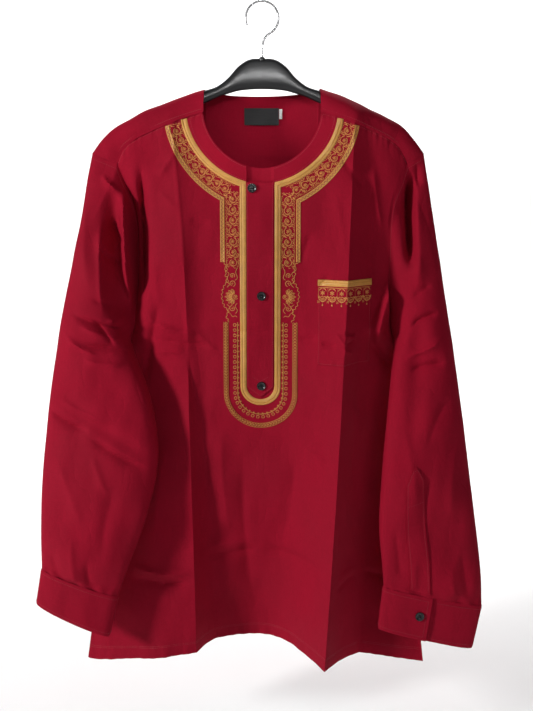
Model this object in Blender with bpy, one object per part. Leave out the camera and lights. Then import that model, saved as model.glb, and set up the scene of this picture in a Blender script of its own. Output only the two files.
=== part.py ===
"""A collarless long-sleeve popover shirt, hung on a plain hanger.

X runs to the viewer's right, which is the wearer's left. The front faces -Y and Z is up. The origin is the
point under the hook's arch where a rail holds it, and "down" is the distance below that point. Each cloth piece
is a thin wall between two grids of points. The front and the back are height fields: straight facets between
lines that run down the cloth, with the change of slope at each line rounded over its own radius.
"""

import math

import bmesh
import bpy
import numpy as np
from mathutils import Vector

# Walls and gaps
CLOTH = 0.0015
CUFF_WALL = 0.0022
STRIP_WALL = 0.0012
BRAID_WALL = 0.0008
GAP = 0.0003
HALF_GAP = GAP / 2
STEEPEST_WALL = 2.2
SLOPE_STEP = 0.001
CLOTH_SHARP_ANGLE = 40.0

# Neck and shoulders
NECK_HALF_WIDTH = 0.084
NECK_TOP = 0.154
NECK_DROP = 0.079
NECK_SQUARENESS = 1.85
BACK_NECK_DEPTH = 0.044
BACK_NECK_DOWN = 0.1255
RIDGE_DEPTH = 0.002
YOKE_END_X = 0.212
YOKE_END_DOWN = 0.226
SHOULDER_TIP_DOWN = 0.211
SHOULDER_TIP_X = {-1: 0.249, 1: 0.237}
SHOULDER_WALL_LEAN = (0.85, 0.5)
BACK_NECK_LEAN = 0.05
ARCH_CELLS = 5
ARMHOLE_WALL_POWER = 6
# share of the way from neck to armhole, then down to the ridge, the front seam and the back seam
SHOULDER = (
    (0.0, 0.1200, 0.1540, 0.2120),
    (0.2, 0.1305, 0.1615, 0.2120),
    (0.4, 0.1425, 0.1705, 0.2130),
    (0.6, 0.1565, 0.1810, 0.2140),
    (0.8, 0.1765, 0.1935, 0.2170),
    (0.9, 0.1925, 0.2035, 0.2210),
    (1.0, 0.2110, 0.2260, 0.2260),
)

# Armhole and side seam: down, then x and front y on the wearer's right and on the wearer's left, then back y
UNDERARM_DOWN = 0.475
CLOSING_FROM_DOWN = 0.434
HEM_DOWN = 0.970
SIDE_EDGES = (
    (0.226, -0.212, -0.004, 0.212, -0.006, 0.030),
    (0.250, -0.204, 0.004, 0.204, -0.012, 0.036),
    (0.275, -0.194, 0.012, 0.194, -0.017, 0.040),
    (0.305, -0.188, 0.018, 0.189, -0.019, 0.043),
    (0.345, -0.187, 0.020, 0.188, -0.019, 0.043),
    (0.392, -0.188, 0.016, 0.188, -0.015, 0.040),
    (0.434, -0.191, 0.006, 0.191, -0.012, 0.030),
    (0.475, -0.195, -0.008, 0.196, -0.008, 0.000),
    (0.515, -0.189, -0.007, 0.194, -0.007, 0.000),
    (0.560, -0.190, -0.003, 0.197, -0.004, 0.004),
    (0.635, -0.206, -0.001, 0.209, -0.005, 0.005),
    (0.750, -0.238, -0.012, 0.225, -0.020, -0.008),
    (0.870, -0.258, -0.030, 0.238, -0.043, -0.028),
    (0.970, -0.272, -0.048, 0.248, -0.064, -0.046),
)
ROW_LEVELS = (
    0.226, 0.250, 0.275, 0.305, 0.345, 0.392, 0.434, 0.475, 0.515, 0.560,
    0.605, 0.650, 0.700, 0.750, 0.800, 0.850, 0.895, 0.935, 0.970,
)
FLAT_ROW_DOWN = 0.345
TOP_ROW_ROUNDS = 8
HEM_SIDE_DROP = 0.024
HEM_CENTRE_RISE = 0.013
HEM_HALF_WIDTH = 0.26

# Lines down the front: name, cells up to the next line, where the cells crowd, rounding radius,
# then x and y at each of the four fold levels
FOLD_LEVELS = (0.15, 0.35, 0.62, 0.97)
FRONT_LINES = (
    ("right flank", 2, "even", 0.008, -0.196, -0.012, -0.176, -0.020, -0.180, -0.024, -0.232, -0.060),
    ("right panel", 2, "even", 0.015, -0.160, -0.019, -0.148, -0.026, -0.150, -0.036, -0.160, -0.078),
    ("right crease", 2, "even", 0.006, -0.131, -0.023, -0.115, -0.034, -0.108, -0.050, -0.101, -0.067),
    ("right valley", 2, "even", 0.010, -0.112, -0.021, -0.097, -0.029, -0.090, -0.035, -0.083, -0.029),
    ("right neck corner", 5, "start", 0.010, -0.084, -0.021, -0.078, -0.030, -0.072, -0.037, -0.066, -0.023),
    ("right of placket", 3, "even", 0.015, -0.040, -0.027, -0.040, -0.035, -0.040, -0.039, -0.036, -0.018),
    ("centre", 3, "even", 0.020, 0.000, -0.030, 0.000, -0.037, 0.000, -0.040, 0.004, -0.015),
    ("left of placket", 5, "end", 0.015, 0.040, -0.027, 0.042, -0.037, 0.040, -0.045, 0.038, -0.035),
    ("left neck corner", 3, "even", 0.015, 0.084, -0.022, 0.082, -0.042, 0.078, -0.062, 0.066, -0.078),
    ("left crease", 2, "even", 0.005, 0.133, -0.027, 0.125, -0.056, 0.113, -0.086, 0.092, -0.128),
    ("left recess", 1, "even", 0.008, 0.150, -0.021, 0.148, -0.032, 0.138, -0.050, 0.122, -0.084),
    ("left soft fold", 2, "even", 0.008, 0.163, -0.020, 0.161, -0.022, 0.158, -0.036, 0.150, -0.056),
    ("left panel", 2, "even", 0.010, 0.186, -0.016, 0.175, -0.021, 0.180, -0.026, 0.200, -0.060),
)
FIRST_CELLS = 2
BACK_LINES = (
    ("right shoulder blade", 0.030, -0.150, 0.047, -0.150, 0.055, -0.165, 0.049, -0.200, 0.026),
    ("right fold", 0.025, -0.085, 0.051, -0.090, 0.067, -0.100, 0.072, -0.115, 0.066),
    ("right of centre", 0.025, -0.035, 0.050, -0.035, 0.056, -0.040, 0.052, -0.045, 0.040),
    ("centre", 0.025, 0.012, 0.050, 0.012, 0.059, 0.012, 0.062, 0.012, 0.058),
    ("left fold", 0.025, 0.080, 0.051, 0.085, 0.066, 0.095, 0.073, 0.105, 0.076),
    ("left shoulder blade", 0.030, 0.150, 0.046, 0.150, 0.053, 0.160, 0.046, 0.185, 0.026),
)
BACK_NECK_CELLS = 10

# Sleeve rings: share of the sleeve's length, then x, down and y of the inner edge and of the outer edge,
# then how far the front and the back bulge
RIGHT_SLEEVE = (
    (0.00, -0.195, 0.475, -0.0063, -0.249, 0.211, 0.002, 0.020, 0.034),
    (0.06, -0.196, 0.478, -0.008, -0.258, 0.250, 0.002, 0.022, 0.034),
    (0.12, -0.197, 0.482, -0.011, -0.265, 0.290, 0.000, 0.026, 0.034),
    (0.20, -0.196, 0.490, -0.018, -0.276, 0.343, -0.004, 0.030, 0.030),
    (0.30, -0.188, 0.507, -0.032, -0.290, 0.409, -0.014, 0.032, 0.026),
    (0.45, -0.163, 0.570, -0.056, -0.307, 0.508, -0.030, 0.034, 0.022),
    (0.60, -0.153, 0.650, -0.069, -0.319, 0.607, -0.050, 0.032, 0.020),
    (0.75, -0.170, 0.735, -0.080, -0.327, 0.705, -0.068, 0.028, 0.018),
    (0.90, -0.198, 0.812, -0.090, -0.328, 0.785, -0.082, 0.022, 0.014),
    (1.00, -0.214, 0.856, -0.094, -0.327, 0.816, -0.088, 0.016, 0.010),
)
LEFT_SLEEVE = (
    (0.00, 0.196, 0.475, -0.0063, 0.237, 0.211, 0.002, 0.020, 0.034),
    (0.06, 0.1965, 0.478, -0.008, 0.244, 0.250, 0.002, 0.022, 0.034),
    (0.12, 0.197, 0.482, -0.011, 0.251, 0.290, 0.001, 0.026, 0.034),
    (0.20, 0.197, 0.490, -0.018, 0.260, 0.343, -0.002, 0.030, 0.030),
    (0.30, 0.194, 0.507, -0.032, 0.271, 0.409, -0.010, 0.032, 0.026),
    (0.45, 0.187, 0.570, -0.052, 0.286, 0.508, -0.026, 0.032, 0.022),
    (0.60, 0.178, 0.665, -0.069, 0.300, 0.610, -0.046, 0.030, 0.020),
    (0.75, 0.173, 0.750, -0.084, 0.313, 0.720, -0.068, 0.026, 0.018),
    (0.90, 0.177, 0.810, -0.098, 0.324, 0.820, -0.088, 0.020, 0.014),
    (1.00, 0.179, 0.838, -0.102, 0.326, 0.870, -0.096, 0.014, 0.010),
)
RING_SQUARENESS = 0.8
PINCH_POWER = 8
SLEEVE_ROWS = 20
ARMHOLE_FADE = 0.22
EVEN_RING_SHARES = (0.20, 0.60)
# Long folds of the sleeves' fronts: x and down at each end, depth inwards, half width
RIGHT_SLEEVE_FOLDS = (
    (-0.222, 0.240, -0.214, 0.440, 0.010, 0.014),
    (-0.300, 0.560, -0.160, 0.650, 0.006, 0.012),
)
LEFT_SLEEVE_FOLDS = (
    (0.216, 0.225, 0.220, 0.385, 0.016, 0.009),
    (0.232, 0.430, 0.215, 0.640, 0.006, 0.014),
)
FOLD_END = 0.25
FOLDS_FROM_SHARE = 0.04
LEAST_SIDEWAYS = 0.5

# Cuffs: x, down and y of the lower inner corner and of the lower outer corner, then front and back bulge
CUFF_BOTTOMS = {
    -1: (-0.228, 0.918, -0.098, -0.336, 0.869, -0.092, 0.016, 0.011),
    1: (0.172, 0.901, -0.108, 0.313, 0.936, -0.100, 0.014, 0.010),
}
CUFF_ROWS = 3
CUFF_CELLS = 26
CUFF_OVERLAP = 0.16
CUFF_END = {-1: 0.70, 1: 0.245}
CUFF_PROUD = 0.0004

# Pieces sewn onto the front
PLACKET_RIGHT_X = -0.0226
PLACKET_LEFT_X = 0.0170
PLACKET_TIP = (-0.0028, 0.568)
PLACKET_POINT_FROM = 0.552
PLACKET_TIP_BLUNT = 0.0015
PLACKET_CELLS = 4
PLACKET_ROWS = 16
INNER_BRAID_WIDTH = 0.0096
INNER_BRAID_ARC = (0.1125, 0.105)
INNER_BRAID_RADIUS = 0.0254
INNER_BRAID_TURN_DOWN = 0.5505
OUTER_BRAID_WIDTH = 0.0065
OUTER_BRAID_ARC = (0.138, 0.138)
OUTER_BRAID_X = 0.0575
OUTER_BRAID_END = 0.367
LOWER_BRAID_TOP = 0.455
LOWER_BRAID_RADIUS = 0.0508
LOWER_BRAID_TURN_DOWN = 0.561
BRAID_CENTRE_X = -0.0028
BRAID_STEP = 0.014
BRAID_SEAM_ROOM = 0.001
ARC_POINTS = 60
TURN_POINTS = 24
BRAID_CLEARANCE = 0.0008
BRAID_FEEL = 0.004
BRAID_CROWN = 0.0003
POCKET_TOP_LEVEL = 0.392
POCKET_BOTTOM_LEVEL = 0.515
POCKET_BRAID_HEIGHT = 0.009
POCKET_WALL = 0.0012

# Buttons
BUTTON_RADIUS = 0.0066
BUTTON_HEIGHT = 0.0026
BUTTON_RIM = 0.0016
BUTTON_DISH = 0.0008
BUTTON_SIDES = 20
BUTTON_SHARP_ANGLE = 30.0
BUTTON_CLEARANCE = 0.0004
PLACKET_BUTTONS = ((-0.0145, 0.261), (-0.0010, 0.416), (-0.0013, 0.550))
CUFF_BUTTON_RISE = 0.45
CUFF_BUTTON_FEEL = (0.1, 0.02)
CUFF_BUTTON_CLEARANCE = 0.0009
CUFF_BUTTON_SHARE = {-1: 0.667, 1: 0.212}

# Sleeve plackets: share of the sleeve at the lower end and at the point, places round it of the long edges
SLEEVE_PLACKETS = {
    -1: (0.985, 0.70, 0.655, 0.705),
    1: (0.985, 0.62, 0.172, 0.236),
}
SLEEVE_PLACKET_POINT = 0.10
SLEEVE_PLACKET_ROWS = 8
SLEEVE_PLACKET_CELLS = 3
TIP_WIDTH_SHARE = 0.15
SLEEVE_STRIP_CLEARANCE = 0.0007

# Label and size tab inside the back neck
LABEL_X = (-0.027, 0.025)
LABEL_SPREAD = (0.40, 0.65)
TAB_X = (0.0255, 0.0300)
TAB_SPREAD = (0.42, 0.57)
LABEL_WALL = 0.0010
LABEL_CLEARANCE = 0.0006
LABEL_CELLS = 4

# Hanger
HANGER_HALF_DEPTH = 0.0055
HANGER_RING_SIDES = 14
# x from the centre, down to the top, down to the bottom
HANGER_ROWS = (
    (0.000, 0.0780, 0.1190),
    (0.022, 0.0805, 0.1200),
    (0.036, 0.0900, 0.1220),
    (0.048, 0.1030, 0.1255),
    (0.062, 0.1140, 0.1300),
    (0.084, 0.1222, 0.1395),
    (0.115, 0.1328, 0.1490),
    (0.145, 0.1445, 0.1600),
    (0.172, 0.1570, 0.1705),
    (0.184, 0.1655, 0.1760),
    (0.191, 0.1705, 0.1765),
)
HOOK_WIRE_RADIUS = 0.00175
HOOK_ARCH_RADIUS = 0.0235
HOOK_START_ANGLE = -62.0
HOOK_END_ANGLE = 205.0
HOOK_ARCH_POINTS = 26
HOOK_STEM_BEND = 0.014
HOOK_STEM_POINTS = 8

RED = (0.300, 0.006, 0.018, 1.0)
GOLD = (0.600, 0.320, 0.080, 1.0)
BLACK = (0.012, 0.012, 0.014, 1.0)
WHITE = (0.750, 0.740, 0.720, 1.0)
STEEL = (0.600, 0.600, 0.600, 1.0)


def along_rows(at, knots, values):
    """A smooth curve through a table's rows: cubics whose slopes come from the neighbouring rows."""
    knots = np.asarray(knots, float)
    values = np.asarray(values, float)
    slopes = np.gradient(values, knots)
    at = np.clip(at, knots[0], knots[-1])
    low = np.clip(np.searchsorted(knots, at, side="right") - 1, 0, len(knots) - 2)
    span = knots[low + 1] - knots[low]
    share = (at - knots[low]) / span
    rise = share * share * (3 - 2 * share)
    return (
        values[low] * (1 - rise)
        + values[low + 1] * rise
        + slopes[low] * span * share * (1 - share) ** 2
        - slopes[low + 1] * span * share * share * (1 - share)
    )


def smooth_step(share):
    """0 up to 0, 1 from 1 on, with level ends."""
    share = np.clip(share, 0.0, 1.0)
    return share * share * (3 - 2 * share)


def soft_ramp(distance, radius):
    """0 before the line and the distance after it, with the bend rounded over the radius on both sides."""
    inside = (np.clip(distance, -radius, radius) + radius) ** 2 / (4 * radius)
    return np.where(distance > radius, distance, inside)


def side_edge(side, down):
    """x, front y and back y of the armhole and the side seam."""
    table = np.array(SIDE_EDGES)
    first = 1 if side < 0 else 3
    x = along_rows(down, table[:, 0], table[:, first])
    front = along_rows(down, table[:, 0], table[:, first + 1])
    back = along_rows(down, table[:, 0], table[:, 5])
    seam_back = front + 2 * CLOTH + GAP
    below = smooth_step((down - CLOSING_FROM_DOWN) / (UNDERARM_DOWN - CLOSING_FROM_DOWN))
    return x, front, back * (1 - below) + seam_back * below


def fold_lines(lines, first_value, down, face):
    """x, y and radius of every line at the given levels, side edges included; face -1 is the front."""
    right_x, right_front, right_back = side_edge(-1, down)
    left_x, left_front, left_back = side_edge(1, down)
    xs = [right_x]
    ys = [right_front if face < 0 else right_back]
    radii = [0.0]
    for line in lines:
        numbers = line[first_value:]
        xs.append(along_rows(down, FOLD_LEVELS, numbers[1::2]))
        ys.append(along_rows(down, FOLD_LEVELS, numbers[2::2]))
        radii.append(numbers[0])
    xs.append(left_x)
    ys.append(left_front if face < 0 else left_back)
    radii.append(0.0)
    return xs, ys, radii


def fold_height(x, down, lines, first_value, face):
    """y of a panel: the first facet's slope, plus the change of slope at each line, rounded."""
    xs, ys, radii = fold_lines(lines, first_value, down, face)
    slopes = [(ys[i + 1] - ys[i]) / (xs[i + 1] - xs[i]) for i in range(len(xs) - 1)]
    y = ys[0] + slopes[0] * (x - xs[0])
    for i in range(1, len(slopes)):
        room = 0.9 * np.minimum(xs[i] - xs[i - 1], xs[i + 1] - xs[i])
        y = y + (slopes[i] - slopes[i - 1]) * soft_ramp(x - xs[i], np.minimum(radii[i], room))
    return y


def front_y(x, down):
    """Depth of the front's outer face."""
    return fold_height(x, down, FRONT_LINES, 3, -1)


def back_y(x, down):
    """Depth of the back's outer face."""
    return fold_height(x, down, BACK_LINES, 1, 1)


def neck_arc_down(x, half_width, drop):
    """A squarish half ellipse that hangs from the yoke seam round the neck."""
    share = np.clip(np.abs(x) / half_width, 0.0, 1.0)
    return NECK_TOP + drop * (1 - share**NECK_SQUARENESS) ** (1 / NECK_SQUARENESS)


def shoulder_level(share, column):
    """Down to the ridge (1), the front seam (2) or the back seam (3) at a share of the shoulder."""
    table = np.array(SHOULDER)
    return along_rows(share, table[:, 0], table[:, column])


def front_top_down(x):
    """Down to the front's upper edge: the neckline in the middle and the yoke seam beside it."""
    share = (np.abs(x) - NECK_HALF_WIDTH) / (YOKE_END_X - NECK_HALF_WIDTH)
    seam = shoulder_level(np.clip(share, 0.0, 1.0), 2)
    neckline = neck_arc_down(x, NECK_HALF_WIDTH, NECK_DROP)
    return np.where(np.abs(x) < NECK_HALF_WIDTH, neckline, seam)


def hem_down(x, level):
    """A level row, lowered towards the sides and raised in the middle as it nears the hem."""
    near_hem = np.clip((level - UNDERARM_DOWN) / (HEM_DOWN - UNDERARM_DOWN), 0.0, 1.0) ** 2
    spread = np.clip(np.abs(x) / HEM_HALF_WIDTH, 0.0, 1.0) ** 1.5
    return level + near_hem * (HEM_SIDE_DROP * spread - HEM_CENTRE_RISE)


def cell_shares(cells, crowding):
    """Places of a stretch's columns, crowded at its start or its end, or even."""
    even = np.arange(cells) / cells
    if crowding == "start":
        return 1 - np.cos(even * math.pi / 2)
    if crowding == "end":
        return np.sin(even * math.pi / 2)
    return even


def front_columns():
    """Every column as a line number plus a share of the way to the next line, and each named line's column."""
    places = [cell_shares(FIRST_CELLS, "even")]
    named = {}
    count = FIRST_CELLS
    for number, (name, cells, crowding, *_) in enumerate(FRONT_LINES, start=1):
        named[name] = count
        places.append(number + cell_shares(cells, crowding))
        count += cells
    places.append(np.array([len(FRONT_LINES) + 1.0]))
    return np.concatenate(places), named


def front_x(places, down):
    """x of the columns at the given levels, straight between neighbouring lines."""
    xs = np.stack(fold_lines(FRONT_LINES, 3, down, -1)[0])
    low = np.minimum(places.astype(int), len(xs) - 2)
    share = places - low
    index = np.broadcast_to(low, down.shape)
    lower = np.take_along_axis(xs, index[None], 0)[0]
    upper = np.take_along_axis(xs, index[None] + 1, 0)[0]
    return lower + (upper - lower) * share


def front_grid():
    """x and down of the front's grid: the top row on the neckline and yoke seam, level rows further down."""
    places, named = front_columns()
    levels = np.array(ROW_LEVELS)
    top = np.full(places.shape, NECK_TOP)
    for _ in range(TOP_ROW_ROUNDS):
        top = front_top_down(front_x(places, top))
    top[[0, -1]] = YOKE_END_DOWN
    fade = np.clip(1 - (levels - YOKE_END_DOWN) / (FLAT_ROW_DOWN - YOKE_END_DOWN), 0.0, 1.0)
    level = levels[:, None] + (top - YOKE_END_DOWN) * fade[:, None]
    x = front_x(places, level)
    return x, hem_down(x, level), named, level


def panel_points(x, down, level, height):
    """Outer points of a panel, and how far its wall reaches along y so that its thickness stays even."""
    y = height(x, level)
    slope_x = (height(x + SLOPE_STEP, level) - height(x - SLOPE_STEP, level)) / (2 * SLOPE_STEP)
    slope_z = (height(x, level + SLOPE_STEP) - height(x, level - SLOPE_STEP)) / (2 * SLOPE_STEP)
    reach = CLOTH * np.minimum(np.sqrt(1 + slope_x**2 + slope_z**2), STEEPEST_WALL)
    return np.stack([x, y, -down], axis=-1), reach


def add_object(name, bm, material, sharp_angle=CLOTH_SHARP_ANGLE):
    """A mesh object with outward faces, smooth but for its sharp edges."""
    bmesh.ops.recalc_face_normals(bm, faces=bm.faces)
    mesh = bpy.data.meshes.new(name)
    bm.to_mesh(mesh)
    bm.free()
    mesh.shade_smooth()
    mesh.set_sharp_from_angle(angle=math.radians(sharp_angle))
    mesh.materials.append(material)
    piece = bpy.data.objects.new(name, mesh)
    bpy.context.scene.collection.objects.link(piece)
    return piece


def add_wall(name, outer, inner, material, keep=None):
    """A closed wall between two grids: a cell of each where kept, and a rim along every open edge."""
    rows, columns = outer.shape[0] - 1, outer.shape[1] - 1
    if keep is None:
        keep = np.ones((rows, columns), bool)
    bm = bmesh.new()
    layers = (outer, inner)
    made = {}

    def vertex(layer, row, column):
        if (layer, row, column) not in made:
            made[layer, row, column] = bm.verts.new(layers[layer][row, column])
        return made[layer, row, column]

    neighbours = ((-1, 0), (0, 1), (1, 0), (0, -1))
    for row, column in np.argwhere(keep):
        corners = ((row, column), (row, column + 1), (row + 1, column + 1), (row + 1, column))
        for half in (corners[:3], (corners[2], corners[3], corners[0])):
            bm.faces.new([vertex(0, *corner) for corner in half])
            bm.faces.new([vertex(1, *corner) for corner in reversed(half)])
        for side, (row_step, column_step) in enumerate(neighbours):
            next_row, next_column = row + row_step, column + column_step
            within = 0 <= next_row < rows and 0 <= next_column < columns
            if not (within and keep[next_row, next_column]):
                start, end = corners[side], corners[(side + 1) % 4]
                bm.faces.new([vertex(0, *end), vertex(0, *start), vertex(1, *start), vertex(1, *end)])
    return add_object(name, bm, material)


def trim_edges(x):
    """Columns moved in at both side edges by half the seam gap."""
    x = x.copy()
    x[:, 0] += HALF_GAP
    x[:, -1] -= HALF_GAP
    return x


def build_front(material):
    """The whole front, folded; returns its grid for the pieces sewn onto it."""
    x, down, named, level = front_grid()
    points, reach = panel_points(x, down, level, front_y)
    points[..., 0] = trim_edges(x)
    points[0, :, 2] -= HALF_GAP * (np.abs(x[0]) > NECK_HALF_WIDTH - HALF_GAP)
    inner = points.copy()
    inner[..., 1] += reach
    inner[:, [0, -1], 1] = points[:, [0, -1], 1] + CLOTH
    add_wall("front", points, inner, material)
    return points, named


def shoulder_columns(front_points, named):
    """Shares of the shoulder where the yoke's columns meet the front's, on both sides."""
    x = front_points[0, :, 0]
    right = x[: named["right neck corner"] + 1]
    left = x[named["left neck corner"]:]
    width = YOKE_END_X - NECK_HALF_WIDTH
    right_shares = (-right - NECK_HALF_WIDTH) / width
    left_shares = (left - NECK_HALF_WIDTH) / width
    for shares in (right_shares, left_shares):
        shares[np.argmax(shares)] = 1.0
        shares[np.argmin(shares)] = 0.0
    return right_shares, left_shares


def shoulder_arch(side, share, turn, face):
    """A point of the arch over the shoulder: turn 0 is the ridge, 1 is the seam; face -1 is the front half."""
    angle = turn * math.pi / 2
    tip_x = SHOULDER_TIP_X[side]
    ridge_x = NECK_HALF_WIDTH + share * (tip_x - NECK_HALF_WIDTH)
    seam_x = NECK_HALF_WIDTH + share * (YOKE_END_X - NECK_HALF_WIDTH)
    x = seam_x + (ridge_x - seam_x) * np.cos(angle)
    ridge_down = shoulder_level(share, 1)
    seam_down = shoulder_level(share, 2 if face < 0 else 3)
    height = front_y if face < 0 else back_y
    seam_y = height(side * seam_x, seam_down)
    down = seam_down + (ridge_down - seam_down) * np.cos(angle)
    y = RIDGE_DEPTH + (seam_y - RIDGE_DEPTH) * np.sin(angle)
    reach_y = np.abs(seam_y - RIDGE_DEPTH)
    reach_z = seam_down - ridge_down
    wall = np.stack(
        [np.zeros_like(y), -face * reach_z * np.sin(angle), -reach_y * np.cos(angle)], axis=-1
    )
    wall /= np.linalg.norm(wall, axis=-1, keepdims=True)
    end_wall = armhole_wall(side, turn, face)
    blend = share[..., None] ** ARMHOLE_WALL_POWER
    wall = wall * (1 - blend) + end_wall * blend
    wall /= np.linalg.norm(wall, axis=-1, keepdims=True)
    return np.stack([side * x, y, -down], axis=-1), wall


def armhole_wall(side, turn, face):
    """Direction of the wall along the armhole's edge over the shoulder, shared by the yoke and the sleeve."""
    angle = np.asarray(turn, float) * math.pi / 2
    lean_x, lean_z = SHOULDER_WALL_LEAN
    wall = np.stack(
        [-side * lean_x * np.cos(angle), -face * np.sin(angle), -lean_z * np.cos(angle)], axis=-1
    )
    return wall / np.linalg.norm(wall, axis=-1, keepdims=True)


def back_neck_patch(x, turns):
    """The yoke between the shoulders: from the back neckline down to the back seam."""
    angle = turns[:, None] * math.pi / 2
    round_share = np.sqrt(np.clip(1 - (x / NECK_HALF_WIDTH) ** 2, 0.0, 1.0))
    neck_y = RIDGE_DEPTH + (BACK_NECK_DEPTH - RIDGE_DEPTH) * round_share
    corner_down = SHOULDER[0][1]
    neck_down = corner_down + (BACK_NECK_DOWN - corner_down) * round_share
    seam_down = SHOULDER[0][3]
    seam_y = back_y(x, np.full_like(x, seam_down))
    down = seam_down + (neck_down - seam_down) * np.cos(angle)
    y = neck_y + (seam_y - neck_y) * np.sin(angle)
    lean = BACK_NECK_LEAN * (1 - np.abs(x) / NECK_HALF_WIDTH)
    wall = np.stack(
        [
            np.zeros_like(y),
            -((seam_down - neck_down) * np.sin(angle) + lean),
            -(seam_y - neck_y) * np.cos(angle),
        ],
        axis=-1,
    )
    wall /= np.linalg.norm(wall, axis=-1, keepdims=True)
    return np.stack([np.broadcast_to(x, y.shape), y, -down], axis=-1), wall


def build_yoke(front_points, named, material):
    """The yoke over both shoulders; returns the x of its back seam's columns."""
    right_shares, left_shares = shoulder_columns(front_points, named)
    turns = np.linspace(0.0, 1.0, ARCH_CELLS + 1)
    wings = []
    for side, shares in ((-1, right_shares), (1, left_shares)):
        front_half, front_wall = shoulder_arch(side, shares[None, :], turns[::-1, None] + 0 * shares, -1)
        back_half, back_wall = shoulder_arch(side, shares[None, :], turns[1:, None] + 0 * shares, 1)
        wings.append((np.concatenate([front_half, back_half]), np.concatenate([front_wall, back_wall])))
    angles = np.linspace(math.pi, 0.0, BACK_NECK_CELLS + 1)[1:-1]
    middle_x = NECK_HALF_WIDTH * np.cos(angles)
    middle, middle_wall = back_neck_patch(middle_x, turns)
    empty = np.zeros((ARCH_CELLS,) + middle.shape[1:])
    middle = np.concatenate([empty, middle])
    middle_wall = np.concatenate([empty, middle_wall])
    outer = np.concatenate([wings[0][0], middle, wings[1][0]], axis=1)
    wall = np.concatenate([wings[0][1], middle_wall, wings[1][1]], axis=1)
    keep = np.ones((2 * ARCH_CELLS, outer.shape[1] - 1), bool)
    first_middle = len(right_shares) - 1
    keep[:ARCH_CELLS, first_middle:first_middle + BACK_NECK_CELLS] = False
    outer[0, :, 2] += HALF_GAP
    outer[-1, :, 2] += HALF_GAP
    outer[:, 0, 0] += HALF_GAP
    outer[:, -1, 0] -= HALF_GAP
    inner = outer + CLOTH * wall
    add_wall("yoke", outer, inner, material, keep)
    return outer[-1, :, 0]


def build_back(seam_x, material):
    """The back, gridded from the yoke seam's columns down to the hem."""
    levels = np.array(ROW_LEVELS)
    seam_x = seam_x.copy()
    seam_x[[0, -1]] = (-YOKE_END_X, YOKE_END_X)
    right_x = side_edge(-1, levels)[0]
    left_x = side_edge(1, levels)[0]
    share = (seam_x + YOKE_END_X) / (2 * YOKE_END_X)
    x = right_x[:, None] + (left_x - right_x)[:, None] * share
    shoulder_share = np.clip((np.abs(seam_x) - NECK_HALF_WIDTH) / (YOKE_END_X - NECK_HALF_WIDTH), 0.0, 1.0)
    top = shoulder_level(shoulder_share, 3)
    fade = np.clip(1 - (levels - YOKE_END_DOWN) / (FLAT_ROW_DOWN - YOKE_END_DOWN), 0.0, 1.0)
    level = levels[:, None] + (top - YOKE_END_DOWN) * fade[:, None]
    points, reach = panel_points(x, hem_down(x, level), level, back_y)
    points[..., 0] = trim_edges(x)
    points[0, :, 2] -= HALF_GAP
    inner = points.copy()
    inner[..., 1] -= reach
    inner[:, [0, -1], 1] = points[:, [0, -1], 1] - CLOTH
    add_wall("back", points, inner, material)


def armhole_loop(side):
    """Points and wall directions round the armhole: up the front, over the shoulder and down the back."""
    levels = np.array([level for level in ROW_LEVELS if level <= UNDERARM_DOWN])[::-1]
    x, front, back = side_edge(side, levels)
    front_edge = np.stack([x, front, -levels], axis=-1)
    back_edge = np.stack([x, back, -levels], axis=-1)[::-1]
    turns = np.linspace(0.0, 1.0, ARCH_CELLS + 1)
    one = np.ones_like(turns)
    over_front, wall_front = shoulder_arch(side, one, turns, -1)
    over_back, wall_back = shoulder_arch(side, one, turns, 1)
    points = np.concatenate([front_edge, over_front[::-1][1:], over_back[1:], back_edge[1:]])
    towards_back = np.tile([0.0, 1.0, 0.0], (len(front_edge), 1))
    walls = np.concatenate([towards_back, wall_front[::-1][1:], wall_back[1:], -towards_back[1:]])
    return points, walls


def fold_depth(x, down, folds):
    """Inward depth of the long folds: a rounded trough along each line that fades out at both ends."""
    depth = np.zeros_like(x)
    for start_x, start_down, end_x, end_down, deep, half_width in folds:
        run_x, run_down = end_x - start_x, end_down - start_down
        length = math.hypot(run_x, run_down)
        share = ((x - start_x) * run_x + (down - start_down) * run_down) / length**2
        across = ((x - start_x) * run_down - (down - start_down) * run_x) / length
        ends = smooth_step(share / FOLD_END) * smooth_step((1 - share) / FOLD_END)
        depth += deep * ends * np.exp(-((across / half_width) ** 2))
    return depth


def sleeve_rings(side):
    """The side's ring table."""
    return np.array(LEFT_SLEEVE if side > 0 else RIGHT_SLEEVE)


def ring_points(edges, angle):
    """A flattened ring: inner edge at angle 0, outer edge at half a turn, the front in between."""
    inner_x, inner_down, inner_y, outer_x, outer_down, outer_y, front_bulge, back_bulge = edges
    across = (1 - np.cos(angle)) / 2
    x = inner_x + (outer_x - inner_x) * across
    down = inner_down + (outer_down - inner_down) * across
    y = inner_y + (outer_y - inner_y) * across
    wave = np.sin(angle)
    rounded = np.abs(wave) ** RING_SQUARENESS
    pinch = (CLOTH + HALF_GAP) * (1 - across) ** PINCH_POWER
    y = y + np.where(angle <= math.pi, -front_bulge * rounded - pinch, back_bulge * rounded + pinch)
    return np.stack([x, y, -down], axis=-1)


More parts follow.
